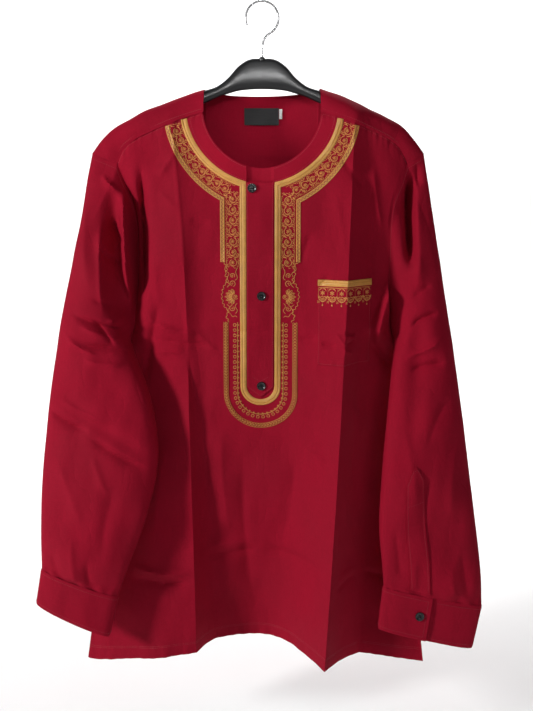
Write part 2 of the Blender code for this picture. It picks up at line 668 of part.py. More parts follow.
def sleeve_points(side, share, place):
    """Points of a sleeve's outer face, by the share of its length and the place round it, from 0 to 1."""
    loop, _ = armhole_loop(side)
    count = len(loop) - 1
    rings = sleeve_rings(side)
    edges = [along_rows(share, rings[:, 0], rings[:, column]) for column in range(1, rings.shape[1])]
    underarm = rings[0, 2]
    rise = np.clip((underarm + loop[:, 2]) / (underarm - rings[0, 5]), 0.0, 1.0)
    loop_angle = np.arccos(1 - 2 * rise)
    loop_angle[count // 2 + 1:] = 2 * math.pi - loop_angle[count // 2 + 1:]
    position = np.arange(count + 1) / count
    start_angle = np.interp(place, position, loop_angle)
    even_from, even_to = EVEN_RING_SHARES
    even = smooth_step((share - even_from) / (even_to - even_from))
    angle = start_angle * (1 - even) + 2 * math.pi * place * even
    points = ring_points(edges, angle)
    first_edges = [rings[0, column] + 0 * place for column in range(1, rings.shape[1])]
    armhole = np.stack([np.interp(place, position, loop[:, axis]) for axis in range(3)], axis=-1)
    correction = armhole - ring_points(first_edges, start_angle)
    fade = (1 - smooth_step(share / ARMHOLE_FADE))[..., None]
    points = points + correction * fade
    folds = LEFT_SLEEVE_FOLDS if side > 0 else RIGHT_SLEEVE_FOLDS
    depth = fold_depth(points[..., 0], -points[..., 2], folds)
    front = np.clip(np.sin(angle), 0.0, 1.0) * smooth_step(share / FOLDS_FROM_SHARE)
    points[..., 1] += depth * front
    return points


def grid_walls(points, towards):
    """Unit wall directions of a grid, square to its rows and columns and on the side of the given points."""
    by_row = np.gradient(points, axis=0)
    by_column = np.gradient(points, axis=1)
    walls = np.cross(by_row, by_column)
    walls /= np.linalg.norm(walls, axis=-1, keepdims=True)
    facing = np.sum(walls * (towards - points), axis=-1)
    return walls * np.sign(np.mean(facing))


def level_with_seam(side, walls):
    """Wall directions turned into the plane of the ring where the sleeve meets its cuff."""
    _, inner_x, inner_down, inner_y, outer_x, outer_down, outer_y, *_ = sleeve_rings(side)[-1]
    across = np.array([outer_x - inner_x, outer_y - inner_y, inner_down - outer_down])
    axis = np.cross(across, [0.0, 1.0, 0.0])
    axis /= np.linalg.norm(axis)
    walls = walls - (walls @ axis)[:, None] * axis
    return walls / np.linalg.norm(walls, axis=-1, keepdims=True)


def build_sleeve(side, name, material):
    """A sleeve from the armhole to the cuff seam, open along its underarm seam by the seam gap."""
    loop, loop_walls = armhole_loop(side)
    place = np.arange(len(loop)) / (len(loop) - 1)
    share = np.linspace(0.0, 1.0, SLEEVE_ROWS + 1)
    share_grid, place_grid = np.meshgrid(share, place, indexing="ij")
    outer = sleeve_points(side, share_grid, place_grid)
    middle = outer.mean(axis=1, keepdims=True)
    walls = grid_walls(outer, middle)
    walls[0] = loop_walls
    walls[:, 0] = (0.0, 1.0, 0.0)
    walls[:, -1] = (0.0, -1.0, 0.0)
    walls[-1] = level_with_seam(side, walls[-1])
    inner = outer + CLOTH * walls
    away = outer[1] - outer[0]
    away /= np.linalg.norm(away, axis=-1, keepdims=True)
    away[:, 0] = np.maximum(side * away[:, 0], LEAST_SIDEWAYS) * side
    outer[0] += HALF_GAP * away
    inner[0] += HALF_GAP * away
    outer[-1, :, 2] += HALF_GAP
    inner[-1, :, 2] += HALF_GAP
    add_wall(name, outer, inner, material)


def cuff_points(side, drop, place):
    """Points of the cuff's outer face: drop 0 at the sleeve seam, 1 at the wrist edge."""
    ring_top = sleeve_rings(side)[-1, 1:]
    edges = [top + (bottom - top) * drop for top, bottom in zip(ring_top, CUFF_BOTTOMS[side])]
    return ring_points(edges, 2 * math.pi * np.mod(place, 1.0))


def build_cuff(side, name, material):
    """A cuff band that runs once round the wrist and then under its own buttoned end."""
    end = CUFF_END[side]
    turn = np.linspace(0.0, 1.0 + CUFF_OVERLAP, CUFF_CELLS + 1)
    place = end - turn
    drop = np.linspace(0.0, 1.0, CUFF_ROWS + 1)
    drop_grid, place_grid = np.meshgrid(drop, place, indexing="ij")
    outer = cuff_points(side, drop_grid, place_grid)
    middle = outer.mean(axis=1, keepdims=True)
    walls = grid_walls(outer, middle)
    walls[0] = level_with_seam(side, walls[0])
    under = smooth_step((turn - 1 + CUFF_OVERLAP) / CUFF_OVERLAP)
    outer = outer + walls * ((CUFF_WALL + GAP + CUFF_PROUD) * under - CUFF_PROUD)[None, :, None]
    outer[0, :, 2] -= HALF_GAP
    inner = outer + CUFF_WALL * walls
    add_wall(name, outer, inner, material)


def lie_on_front(x, down, clearance, wall, crown=0.0):
    """Outer and inner points of a strip on the front, clear of the folds beside each point."""
    steps = ((-BRAID_FEEL, 0.0), (0.0, 0.0), (BRAID_FEEL, 0.0), (0.0, -BRAID_FEEL), (0.0, BRAID_FEEL))
    near = [front_y(x + step_x, down + step_down) for step_x, step_down in steps]
    base = np.min(near, axis=0) - clearance
    outer = np.stack([x, base - wall - crown, -down], axis=-1)
    inner = np.stack([x, base, -down], axis=-1)
    return outer, inner


def build_placket(material):
    """The front placket: a band from the neckline to a pointed end, lying on the front."""
    tip_x, tip_down = PLACKET_TIP
    straight = np.linspace(NECK_TOP + NECK_DROP, PLACKET_POINT_FROM, PLACKET_ROWS)
    levels = np.append(straight, tip_down - PLACKET_TIP_BLUNT)
    share = np.linspace(0.0, 1.0, PLACKET_CELLS + 1)
    narrowing = np.clip((levels - PLACKET_POINT_FROM) / (tip_down - PLACKET_POINT_FROM), 0.0, 1.0)
    right = PLACKET_RIGHT_X + (tip_x - PLACKET_RIGHT_X) * narrowing
    left = PLACKET_LEFT_X + (tip_x - PLACKET_LEFT_X) * narrowing
    x = right[:, None] + (left - right)[:, None] * share
    down = np.broadcast_to(levels[:, None], x.shape).copy()
    down[0] = front_top_down(x[0])
    outer, inner = lie_on_front(x, down, BRAID_CLEARANCE, STRIP_WALL)
    add_wall("front_placket", outer, inner, material)


def neck_arc_path(half_width, drop, end_x, seam_side):
    """Points of a braid's arc from the yoke seam to its corner beside the placket."""
    angle = np.linspace(0.0, math.pi / 2, ARC_POINTS)[1:]
    x = half_width * np.cos(angle) ** (2 / NECK_SQUARENESS)
    down = neck_arc_down(x, half_width, drop)
    below_seam = down > front_top_down(x) + BRAID_SEAM_ROOM
    kept = below_seam & (x > end_x)
    x = np.append(x[kept], end_x)
    down = np.append(down[kept], neck_arc_down(end_x, half_width, drop))
    return seam_side * x, down


def even_steps(x, down, step):
    """The same path with points an even step apart."""
    length = np.concatenate([[0.0], np.cumsum(np.hypot(np.diff(x), np.diff(down)))])
    count = max(2, int(round(length[-1] / step)))
    at = np.linspace(0.0, length[-1], count + 1)
    return np.interp(at, length, x), np.interp(at, length, down)


def add_braid(name, x, down, width, material):
    """A flat braid with a low crown, carried along a path on the front."""
    run_x, run_down = np.gradient(x), np.gradient(down)
    length = np.hypot(run_x, run_down)
    across = np.array([-0.5, 0.0, 0.5]) * width
    grid_x = x[:, None] - (run_down / length)[:, None] * across
    grid_down = down[:, None] + (run_x / length)[:, None] * across
    crown = BRAID_CROWN * np.array([0.0, 1.0, 0.0])
    outer, inner = lie_on_front(grid_x, grid_down, BRAID_CLEARANCE, BRAID_WALL, crown)
    add_wall(name, outer, inner, material)


def turn_path(centre_x, turn_down, radius, top):
    """Down one side, half round, and up the other side."""
    angle = np.linspace(math.pi, 0.0, TURN_POINTS)
    x = np.concatenate([[centre_x - radius], centre_x + radius * np.cos(angle), [centre_x + radius]])
    down = np.concatenate([[top], turn_down + radius * np.sin(angle), [top]])
    return x, down


def build_braids(material):
    """The inner braid round neck and placket, the outer braids beside it, and the lower braid round its end."""
    half_width, drop = INNER_BRAID_ARC
    turn_x, turn_down = turn_path(
        BRAID_CENTRE_X, INNER_BRAID_TURN_DOWN, INNER_BRAID_RADIUS, NECK_TOP + drop
    )
    right_x, right_down = neck_arc_path(half_width, drop, -turn_x[0], -1)
    left_x, left_down = neck_arc_path(half_width, drop, turn_x[-1], 1)
    x = np.concatenate([right_x, turn_x[1:-1], left_x[::-1]])
    down = np.concatenate([right_down, turn_down[1:-1], left_down[::-1]])
    add_braid("neck_braid_inner", *even_steps(x, down, BRAID_STEP), INNER_BRAID_WIDTH, material)
    for side, name in ((-1, "neck_braid_outer_right"), (1, "neck_braid_outer_left")):
        x, down = neck_arc_path(*OUTER_BRAID_ARC, OUTER_BRAID_X, side)
        x = np.append(x, x[-1])
        down = np.append(down, OUTER_BRAID_END)
        add_braid(name, *even_steps(x, down, BRAID_STEP), OUTER_BRAID_WIDTH, material)
    x, down = turn_path(BRAID_CENTRE_X, LOWER_BRAID_TURN_DOWN, LOWER_BRAID_RADIUS, LOWER_BRAID_TOP)
    add_braid("placket_braid_lower", *even_steps(x, down, BRAID_STEP), OUTER_BRAID_WIDTH, material)


def build_pocket(front_points, named, red, gold):
    """The chest pocket, from the front's own points moved out, and the braid along its opening."""
    levels = list(ROW_LEVELS)
    top, bottom = levels.index(POCKET_TOP_LEVEL), levels.index(POCKET_BOTTOM_LEVEL)
    columns = slice(named["left neck corner"], named["left soft fold"] + 1)
    base = front_points[top:bottom + 1, columns].copy()
    base[..., 1] -= GAP
    outer = base.copy()
    outer[..., 1] -= POCKET_WALL
    add_wall("pocket", outer, base, red)
    share = POCKET_BRAID_HEIGHT / (levels[top + 1] - levels[top])
    lower = outer[0] + (outer[1] - outer[0]) * share
    braid_inner = np.stack([outer[0], lower])
    braid_inner[..., 1] -= GAP
    braid_outer = braid_inner.copy()
    braid_outer[..., 1] -= BRAID_WALL
    add_wall("pocket_braid", braid_outer, braid_inner, gold)


def build_sleeve_placket(side, name, material):
    """A pointed strip on the sleeve above the cuff, made from the sleeve's points, moved out."""
    low, high, first, last = SLEEVE_PLACKETS[side]
    share = np.linspace(low, high, SLEEVE_PLACKET_ROWS + 1)
    place = np.linspace(first, last, SLEEVE_PLACKET_CELLS + 1)
    share_grid, place_grid = np.meshgrid(share, place, indexing="ij")
    middle = (first + last) / 2
    narrowing = smooth_step((share_grid - high) / (SLEEVE_PLACKET_POINT * (low - high)))
    place_grid = middle + (place_grid - middle) * (TIP_WIDTH_SHARE + (1 - TIP_WIDTH_SHARE) * narrowing)
    base = sleeve_points(side, share_grid, place_grid)
    inwards = 1.0 if middle < 0.5 else -1.0
    walls = grid_walls(base, base.mean(axis=(0, 1)) + np.array([0.0, inwards, 0.0]))
    inner = base - walls * SLEEVE_STRIP_CLEARANCE
    outer = inner - walls * STRIP_WALL
    add_wall(name, outer, inner, material)


def build_label(name, x_range, spread, material):
    """A flat woven piece against the inside of the back neck."""
    x = np.linspace(*x_range, LABEL_CELLS + 1)
    turns = np.linspace(*spread, LABEL_CELLS + 1)
    base, walls = back_neck_patch(x, turns)
    near = base + walls * (CLOTH + LABEL_CLEARANCE)
    add_wall(name, near + walls * LABEL_WALL, near, material)


def add_button(name, centre, facing, material):
    """A round button with a raised rim, its face turned along the given direction."""
    bm = bmesh.new()
    bmesh.ops.create_cone(
        bm, cap_ends=True, segments=BUTTON_SIDES, radius1=BUTTON_RADIUS, radius2=BUTTON_RADIUS,
        depth=BUTTON_HEIGHT,
    )
    top = max(bm.faces, key=lambda face: face.calc_center_median().z)
    bmesh.ops.inset_region(bm, faces=[top], thickness=BUTTON_RIM, depth=0.0)
    bmesh.ops.translate(bm, verts=top.verts, vec=(0.0, 0.0, -BUTTON_DISH))
    turn = Vector((0.0, 0.0, 1.0)).rotation_difference(Vector(facing)).to_matrix().to_4x4()
    bmesh.ops.transform(bm, matrix=turn, verts=bm.verts)
    bmesh.ops.translate(bm, verts=bm.verts, vec=centre)
    add_object(name, bm, material, BUTTON_SHARP_ANGLE)


def build_buttons(material):
    """Three buttons on the placket and one on each cuff."""
    for number, (x, down) in enumerate(PLACKET_BUTTONS, start=1):
        offsets = np.array([-BUTTON_RADIUS, 0.0, BUTTON_RADIUS])
        face = np.min(front_y(x + offsets, np.full(3, down)))
        y = face - BRAID_CLEARANCE - STRIP_WALL - BUTTON_CLEARANCE - BUTTON_HEIGHT / 2
        add_button(f"placket_button_{number}", (x, y, -down), (0.0, -1.0, 0.0), material)
    for side, name in ((-1, "cuff_button_right"), (1, "cuff_button_left")):
        share = CUFF_BUTTON_SHARE[side]
        drop_step, place_step = CUFF_BUTTON_FEEL
        steps = np.array([-1.0, 0.0, 1.0])
        drop, place = np.meshgrid(
            CUFF_BUTTON_RISE + drop_step * steps, share + place_step * steps, indexing="ij"
        )
        patch = cuff_points(side, drop, place)
        inwards = 1.0 if share < 0.5 else -1.0
        wall = grid_walls(patch, patch[1, 1] + np.array([0.0, inwards, 0.0]))[1, 1]
        away = CUFF_PROUD + CUFF_BUTTON_CLEARANCE + BUTTON_HEIGHT / 2
        add_button(name, tuple(patch[1, 1] - wall * away), tuple(-wall), material)


def build_hanger(plastic, steel):
    """A moulded hanger of oval section, and its hook."""
    mirrored = [(-x, top, bottom) for x, top, bottom in reversed(HANGER_ROWS[1:])]
    rows = mirrored + list(HANGER_ROWS)
    angle = np.arange(HANGER_RING_SIDES) * 2 * math.pi / HANGER_RING_SIDES
    bm = bmesh.new()
    rings = []
    for x, top, bottom in rows:
        middle, half = -(top + bottom) / 2, (bottom - top) / 2
        rings.append([
            bm.verts.new((x, RIDGE_DEPTH + HANGER_HALF_DEPTH * math.sin(turn), middle + half * math.cos(turn)))
            for turn in angle
        ])
    for ring, following in zip(rings, rings[1:]):
        for i in range(HANGER_RING_SIDES):
            j = (i + 1) % HANGER_RING_SIDES
            bm.faces.new((ring[i], ring[j], following[j], following[i]))
    bm.faces.new(rings[0])
    bm.faces.new(rings[-1])
    add_object("hanger", bm, plastic)
    build_hook(steel)


def build_hook(material):
    """The hook's wire: a short stem, a bend to one side, and an arch over the hang point."""
    centre_z = HOOK_WIRE_RADIUS - HOOK_ARCH_RADIUS
    angle = np.radians(np.linspace(HOOK_START_ANGLE, HOOK_END_ANGLE, HOOK_ARCH_POINTS))
    arch = np.stack([HOOK_ARCH_RADIUS * np.cos(angle), centre_z + HOOK_ARCH_RADIUS * np.sin(angle)], axis=-1)
    stem_foot = np.array([0.0, -(HANGER_ROWS[0][1] - GAP)])
    start_run = np.array([-np.sin(angle[0]), np.cos(angle[0])]) * HOOK_STEM_BEND
    share = np.linspace(0.0, 1.0, HOOK_STEM_POINTS, endpoint=False)[:, None]
    foot_pull = stem_foot + np.array([0.0, HOOK_STEM_BEND])
    arch_pull = arch[0] - start_run
    stem = (
        stem_foot * (1 - share) ** 3
        + 3 * foot_pull * share * (1 - share) ** 2
        + 3 * arch_pull * share**2 * (1 - share)
        + arch[0] * share**3
    )
    path = np.concatenate([stem, arch])
    curve = bpy.data.curves.new("hanger_hook", "CURVE")
    curve.dimensions = "3D"
    curve.bevel_depth = HOOK_WIRE_RADIUS
    curve.bevel_resolution = 2
    curve.use_fill_caps = True
    spline = curve.splines.new("POLY")
    spline.points.add(len(path) - 1)
    for point, (x, z) in zip(spline.points, path):
        point.co = (x, RIDGE_DEPTH, z, 1.0)
    curve.materials.append(material)
    hook = bpy.data.objects.new("hanger_hook", curve)
    bpy.context.scene.collection.objects.link(hook)


def add_material(name, colour, roughness, metallic=0.0):
    """A Principled material."""
    material = bpy.data.materials.new(name)
    material.use_nodes = True
    shader = material.node_tree.nodes["Principled BSDF"]
    shader.inputs["Base Color"].default_value = colour
    shader.inputs["Roughness"].default_value = roughness
    shader.inputs["Metallic"].default_value = metallic
    return material


def main():
    for piece in list(bpy.data.objects):
        bpy.data.objects.remove(piece)
    red = add_material("shirt_cloth", RED, 0.75)
    gold = add_material("gold_braid", GOLD, 0.45)
    black = add_material("button_plastic", BLACK, 0.35)
    label = add_material("woven_label", BLACK, 0.80)
    tab = add_material("size_tab", WHITE, 0.80)
    plastic = add_material("hanger_plastic", BLACK, 0.30)
    steel = add_material("hook_steel", STEEL, 0.30, 1.0)
    front_points, named = build_front(red)
    seam_x = build_yoke(front_points, named, red)
    build_back(seam_x, red)
    for side, word in ((-1, "right"), (1, "left")):
        build_sleeve(side, f"sleeve_{word}", red)
        build_cuff(side, f"cuff_{word}", red)
        build_sleeve_placket(side, f"sleeve_placket_{word}", red)
    build_placket(red)
    build_braids(gold)
    build_pocket(front_points, named, red, gold)
    build_buttons(black)
    build_label("neck_label", LABEL_X, LABEL_SPREAD, label)
    build_label("size_tab", TAB_X, TAB_SPREAD, tab)
    build_hanger(plastic, steel)


main()
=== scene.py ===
"""A collarless long-sleeve shirt on a plain hanger: fine cloth, embroidery, stitching, buttons and trims.

X runs to the wearer's left, the front faces -Y and Z is up. The origin is where the hook is held, and
"down" is the distance below it. Cloth pieces are surfaces worked out on grids from the tables below:
straight facets between lines that run down the cloth, rounded at each line, with the smaller creases
added along their own lines.
"""

import math

import bpy
import numpy as np
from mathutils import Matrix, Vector


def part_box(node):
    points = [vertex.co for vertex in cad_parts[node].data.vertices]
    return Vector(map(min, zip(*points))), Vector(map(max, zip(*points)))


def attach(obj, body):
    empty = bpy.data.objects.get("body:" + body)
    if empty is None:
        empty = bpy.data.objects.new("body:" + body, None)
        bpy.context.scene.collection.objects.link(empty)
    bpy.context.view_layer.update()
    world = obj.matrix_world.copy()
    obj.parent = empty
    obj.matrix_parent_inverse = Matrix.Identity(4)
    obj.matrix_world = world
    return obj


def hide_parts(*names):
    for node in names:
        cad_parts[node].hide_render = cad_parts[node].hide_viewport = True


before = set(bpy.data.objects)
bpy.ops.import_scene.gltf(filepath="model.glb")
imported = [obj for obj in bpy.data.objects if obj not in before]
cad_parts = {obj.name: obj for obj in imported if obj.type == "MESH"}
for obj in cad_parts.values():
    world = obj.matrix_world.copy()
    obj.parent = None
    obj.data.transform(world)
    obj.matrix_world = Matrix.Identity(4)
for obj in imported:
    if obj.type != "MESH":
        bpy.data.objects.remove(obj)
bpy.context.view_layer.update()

bl_info = {
    "name": "Collarless shirt on a hanger",
    "version": (1, 0, 0),
    "blender": (4, 5, 0),
    "location": "3D View > Sidebar > Shirt",
    "description": "Builds the cloth, embroidery, stitching and trims of a collarless shirt",
    "category": "Object",
}

SEAM_ROOM = 0.0003
CAD_CLOTH = 0.0015
# The wearer's two sides: the sign along x and the word
SIDES = ((-1, "right"), (1, "left"))

# Neck and shoulders
NECK_HALF_WIDTH = 0.084
NECK_TOP = 0.154
NECK_DROP = 0.079
NECK_SQUARENESS = 1.85
BACK_NECK_DEPTH = 0.044
BACK_NECK_DOWN = 0.1255
RIDGE_DEPTH = 0.002
YOKE_END_X = 0.212
YOKE_END_DOWN = 0.226
SHOULDER_TIP_X = {-1: 0.249, 1: 0.237}
SHOULDER_WALL_LEAN = (0.85, 0.5)
BACK_NECK_LEAN = 0.05
ARCH_CELLS = 5
ARMHOLE_WALL_POWER = 6
# share of the way from neck to armhole, then down to the ridge, the front seam and the back seam
SHOULDER = (
    (0.0, 0.1200, 0.1540, 0.2120),
    (0.2, 0.1305, 0.1615, 0.2120),
    (0.4, 0.1425, 0.1705, 0.2130),
    (0.6, 0.1565, 0.1810, 0.2140),
    (0.8, 0.1765, 0.1935, 0.2170),
    (0.9, 0.1925, 0.2035, 0.2210),
    (1.0, 0.2110, 0.2260, 0.2260),
)

# Armhole and side seam: down, then x and front y on the wearer's right and on the wearer's left, then back y
UNDERARM_DOWN = 0.475
CLOSING_FROM_DOWN = 0.434
HEM_DOWN = 0.970
SIDE_EDGES = (
    (0.226, -0.212, -0.004, 0.212, -0.006, 0.030),
    (0.250, -0.204, 0.004, 0.204, -0.012, 0.036),
    (0.275, -0.194, 0.012, 0.194, -0.017, 0.040),
    (0.305, -0.188, 0.018, 0.189, -0.019, 0.043),
    (0.345, -0.187, 0.020, 0.188, -0.019, 0.043),
    (0.392, -0.188, 0.016, 0.188, -0.015, 0.040),
    (0.434, -0.191, 0.006, 0.191, -0.012, 0.030),
    (0.475, -0.195, -0.008, 0.196, -0.008, 0.000),
    (0.488, -0.2015, -0.0065, 0.2035, -0.0065, 0.001),
    (0.515, -0.204, -0.005, 0.207, -0.005, 0.002),
    (0.560, -0.202, -0.003, 0.209, -0.004, 0.004),
    (0.635, -0.209, -0.001, 0.213, -0.005, 0.005),
    (0.750, -0.238, -0.012, 0.225, -0.020, -0.008),
    (0.870, -0.258, -0.030, 0.238, -0.043, -0.028),
    (0.970, -0.272, -0.048, 0.248, -0.064, -0.046),
)
ROW_LEVELS = (
    0.226, 0.250, 0.275, 0.305, 0.345, 0.392, 0.434, 0.475, 0.515, 0.560,
    0.605, 0.650, 0.700, 0.750, 0.800, 0.850, 0.895, 0.935, 0.970,
)
FLAT_ROW_DOWN = 0.345
TOP_ROW_ROUNDS = 8
HEM_SIDE_DROP = 0.024
HEM_CENTRE_RISE = 0.013
HEM_HALF_WIDTH = 0.26
HEM_STITCH_RISES = (0.0165, 0.0188)

# Lines down the front: name, cells up to the next line, where the cells crowd, rounding radius,
# then x and y at each of the four fold levels
FOLD_LEVELS = (0.15, 0.35, 0.62, 0.97)
FRONT_LINES = (
    ("right flank", 2, "even", 0.008, -0.196, -0.012, -0.176, -0.020, -0.180, -0.024, -0.232, -0.060),
    ("right panel", 2, "even", 0.015, -0.160, -0.019, -0.148, -0.026, -0.150, -0.036, -0.160, -0.078),
    ("right crease", 2, "even", 0.0025, -0.131, -0.023, -0.115, -0.034, -0.108, -0.050, -0.101, -0.067),
    ("right valley", 2, "even", 0.010, -0.112, -0.021, -0.097, -0.029, -0.090, -0.035, -0.083, -0.029),
    ("right neck corner", 5, "start", 0.010, -0.084, -0.021, -0.078, -0.030, -0.072, -0.037, -0.066, -0.023),
    ("right of placket", 3, "even", 0.015, -0.040, -0.027, -0.040, -0.035, -0.040, -0.039, -0.036, -0.018),
    ("centre", 3, "even", 0.020, 0.000, -0.030, 0.000, -0.037, 0.000, -0.040, 0.004, -0.015),
    ("left of placket", 5, "end", 0.015, 0.040, -0.027, 0.042, -0.037, 0.040, -0.045, 0.038, -0.035),
    ("left neck corner", 3, "even", 0.015, 0.084, -0.022, 0.082, -0.042, 0.078, -0.062, 0.066, -0.078),
    ("left crease", 2, "even", 0.0022, 0.133, -0.027, 0.125, -0.056, 0.113, -0.086, 0.092, -0.128),
    ("left recess", 1, "even", 0.005, 0.150, -0.021, 0.148, -0.032, 0.138, -0.050, 0.122, -0.084),
    ("left soft fold", 2, "even", 0.004, 0.163, -0.020, 0.161, -0.022, 0.158, -0.036, 0.150, -0.056),
    ("left panel", 2, "even", 0.010, 0.186, -0.016, 0.175, -0.021, 0.180, -0.026, 0.200, -0.060),
)
FIRST_CELLS = 2
BACK_LINES = (
    ("right shoulder blade", 0.030, -0.150, 0.047, -0.150, 0.055, -0.165, 0.049, -0.200, 0.026),
    ("right fold", 0.025, -0.085, 0.051, -0.090, 0.067, -0.100, 0.072, -0.115, 0.066),
    ("right of centre", 0.025, -0.035, 0.050, -0.035, 0.056, -0.040, 0.052, -0.045, 0.040),
    ("centre", 0.025, 0.012, 0.050, 0.012, 0.059, 0.012, 0.062, 0.012, 0.058),
    ("left fold", 0.025, 0.080, 0.051, 0.085, 0.066, 0.095, 0.073, 0.105, 0.076),
    ("left shoulder blade", 0.030, 0.150, 0.046, 0.150, 0.053, 0.160, 0.046, 0.185, 0.026),
)
BACK_NECK_CELLS = 10

# Sleeve rings: share of the sleeve's length, then x, down and y of the inner edge and of the outer edge,
# then how far the front and the back bulge
RIGHT_SLEEVE = (
    (0.00, -0.195, 0.475, -0.0063, -0.249, 0.211, 0.002, 0.020, 0.034),
    (0.06, -0.196, 0.478, -0.008, -0.258, 0.250, 0.002, 0.022, 0.034),
    (0.12, -0.197, 0.482, -0.011, -0.265, 0.290, 0.000, 0.026, 0.034),
    (0.20, -0.196, 0.490, -0.018, -0.276, 0.343, -0.004, 0.030, 0.030),
    (0.30, -0.188, 0.507, -0.032, -0.290, 0.409, -0.014, 0.032, 0.026),
    (0.45, -0.163, 0.570, -0.056, -0.307, 0.508, -0.030, 0.034, 0.022),
    (0.60, -0.153, 0.650, -0.069, -0.319, 0.607, -0.050, 0.032, 0.020),
    (0.75, -0.170, 0.735, -0.080, -0.327, 0.705, -0.068, 0.028, 0.018),
    (0.90, -0.198, 0.812, -0.090, -0.328, 0.785, -0.082, 0.022, 0.014),
    (1.00, -0.214, 0.856, -0.094, -0.327, 0.816, -0.088, 0.016, 0.010),
)
LEFT_SLEEVE = (
    (0.00, 0.196, 0.475, -0.0063, 0.237, 0.211, 0.002, 0.020, 0.034),
    (0.06, 0.1965, 0.478, -0.008, 0.244, 0.250, 0.002, 0.022, 0.034),
    (0.12, 0.197, 0.482, -0.011, 0.251, 0.290, 0.001, 0.026, 0.034),
    (0.20, 0.197, 0.490, -0.018, 0.260, 0.343, -0.002, 0.030, 0.030),
    (0.30, 0.194, 0.507, -0.032, 0.271, 0.409, -0.010, 0.032, 0.026),
    (0.45, 0.187, 0.570, -0.052, 0.286, 0.508, -0.026, 0.032, 0.022),
    (0.60, 0.178, 0.665, -0.069, 0.300, 0.610, -0.046, 0.030, 0.020),
    (0.75, 0.173, 0.750, -0.084, 0.313, 0.720, -0.068, 0.026, 0.018),
    (0.90, 0.177, 0.810, -0.098, 0.324, 0.820, -0.088, 0.020, 0.014),
    (1.00, 0.179, 0.838, -0.102, 0.326, 0.870, -0.096, 0.014, 0.010),
)
RING_SQUARENESS = 0.8
PINCH_POWER = 8
SLEEVE_ROWS = 20
ARMHOLE_FADE = 0.22
EVEN_RING_SHARES = (0.20, 0.60)
# Long folds of the sleeves' fronts: x and down at each end, depth inwards, half width
RIGHT_SLEEVE_FOLDS = (
    (-0.222, 0.240, -0.214, 0.440, 0.010, 0.014),
    (-0.300, 0.560, -0.160, 0.650, 0.006, 0.012),
)
LEFT_SLEEVE_FOLDS = (
    (0.216, 0.225, 0.220, 0.385, 0.016, 0.009),
    (0.232, 0.430, 0.215, 0.640, 0.006, 0.014),
)
FOLD_END = 0.25
FOLDS_FROM_SHARE = 0.04

# Cuffs: x, down and y of the lower inner corner and of the lower outer corner, then front and back bulge
CUFF_BOTTOMS = {
    -1: (-0.228, 0.918, -0.098, -0.336, 0.869, -0.092, 0.016, 0.011),
    1: (0.172, 0.901, -0.108, 0.313, 0.936, -0.100, 0.014, 0.010),
}
CUFF_CELLS = 26
CUFF_OVERLAP = 0.16
CUFF_END = {-1: 0.70, 1: 0.245}
CUFF_PROUD = 0.0010
CUFF_STITCH_DROPS = (0.085, 0.915)

# Pieces on the cloth, as the solids have them
PLACKET_RIGHT_X = -0.0226
PLACKET_LEFT_X = 0.0170
PLACKET_TIP = (-0.0028, 0.568)
PLACKET_POINT_FROM = 0.552
INNER_BRAID_WIDTH = 0.0096
INNER_BRAID_ARC = (0.1125, 0.105)
INNER_BRAID_TURN_DOWN = 0.5505
OUTER_BRAID_WIDTH = 0.0065
OUTER_BRAID_ARC = (0.138, 0.138)
OUTER_BRAID_END = 0.367
LEAST_MITRE = 0.55
STEEPEST = 0.4
STITCH_FILL = 0.72
# How far ahead and behind a repeat looks for the way that its path runs
TURN_REACH = 0.002
LOWER_BRAID_RADIUS = 0.0508
BRAID_CENTRE_X = -0.0028
BRAID_SEAM_ROOM = 0.001
ARC_POINTS = 60
POCKET_TOP_LEVEL = 0.392
POCKET_BOTTOM_LEVEL = 0.515
POCKET_BRAID_HEIGHT = 0.009
BUTTON_RADIUS = 0.0066
BUTTON_HEIGHT = 0.0026
PLACKET_BUTTONS = ((-0.0145, 0.261), (-0.0010, 0.416), (-0.0013, 0.550))
CUFF_BUTTON_RISE = 0.45
CUFF_BUTTON_SHARE = {-1: 0.667, 1: 0.212}
SLEEVE_PLACKETS = {
    -1: (0.985, 0.70, 0.655, 0.705),
    1: (0.985, 0.62, 0.172, 0.236),
}
SLEEVE_PLACKET_POINT = 0.10
LABEL_X = (-0.027, 0.025)
LABEL_SPREAD = (0.40, 0.65)
TAB_X = (0.0255, 0.0300)
TAB_SPREAD = (0.42, 0.57)
LABEL_CLEARANCE = 0.0006
HANGER_HALF_DEPTH = 0.0055
HANGER_ROWS = (
    (0.000, 0.0780, 0.1190),
    (0.022, 0.0805, 0.1200),
    (0.036, 0.0900, 0.1220),
    (0.048, 0.1030, 0.1255),
    (0.062, 0.1140, 0.1300),
    (0.084, 0.1222, 0.1395),
    (0.115, 0.1328, 0.1490),
    (0.145, 0.1445, 0.1600),
    (0.172, 0.1570, 0.1705),
    (0.184, 0.1655, 0.1760),
    (0.191, 0.1705, 0.1765),
)
HOOK_WIRE_RADIUS = 0.00175
HOOK_ARCH_RADIUS = 0.0235
HOOK_START_ANGLE = -62.0
HOOK_END_ANGLE = 205.0
HOOK_STEM_BEND = 0.014

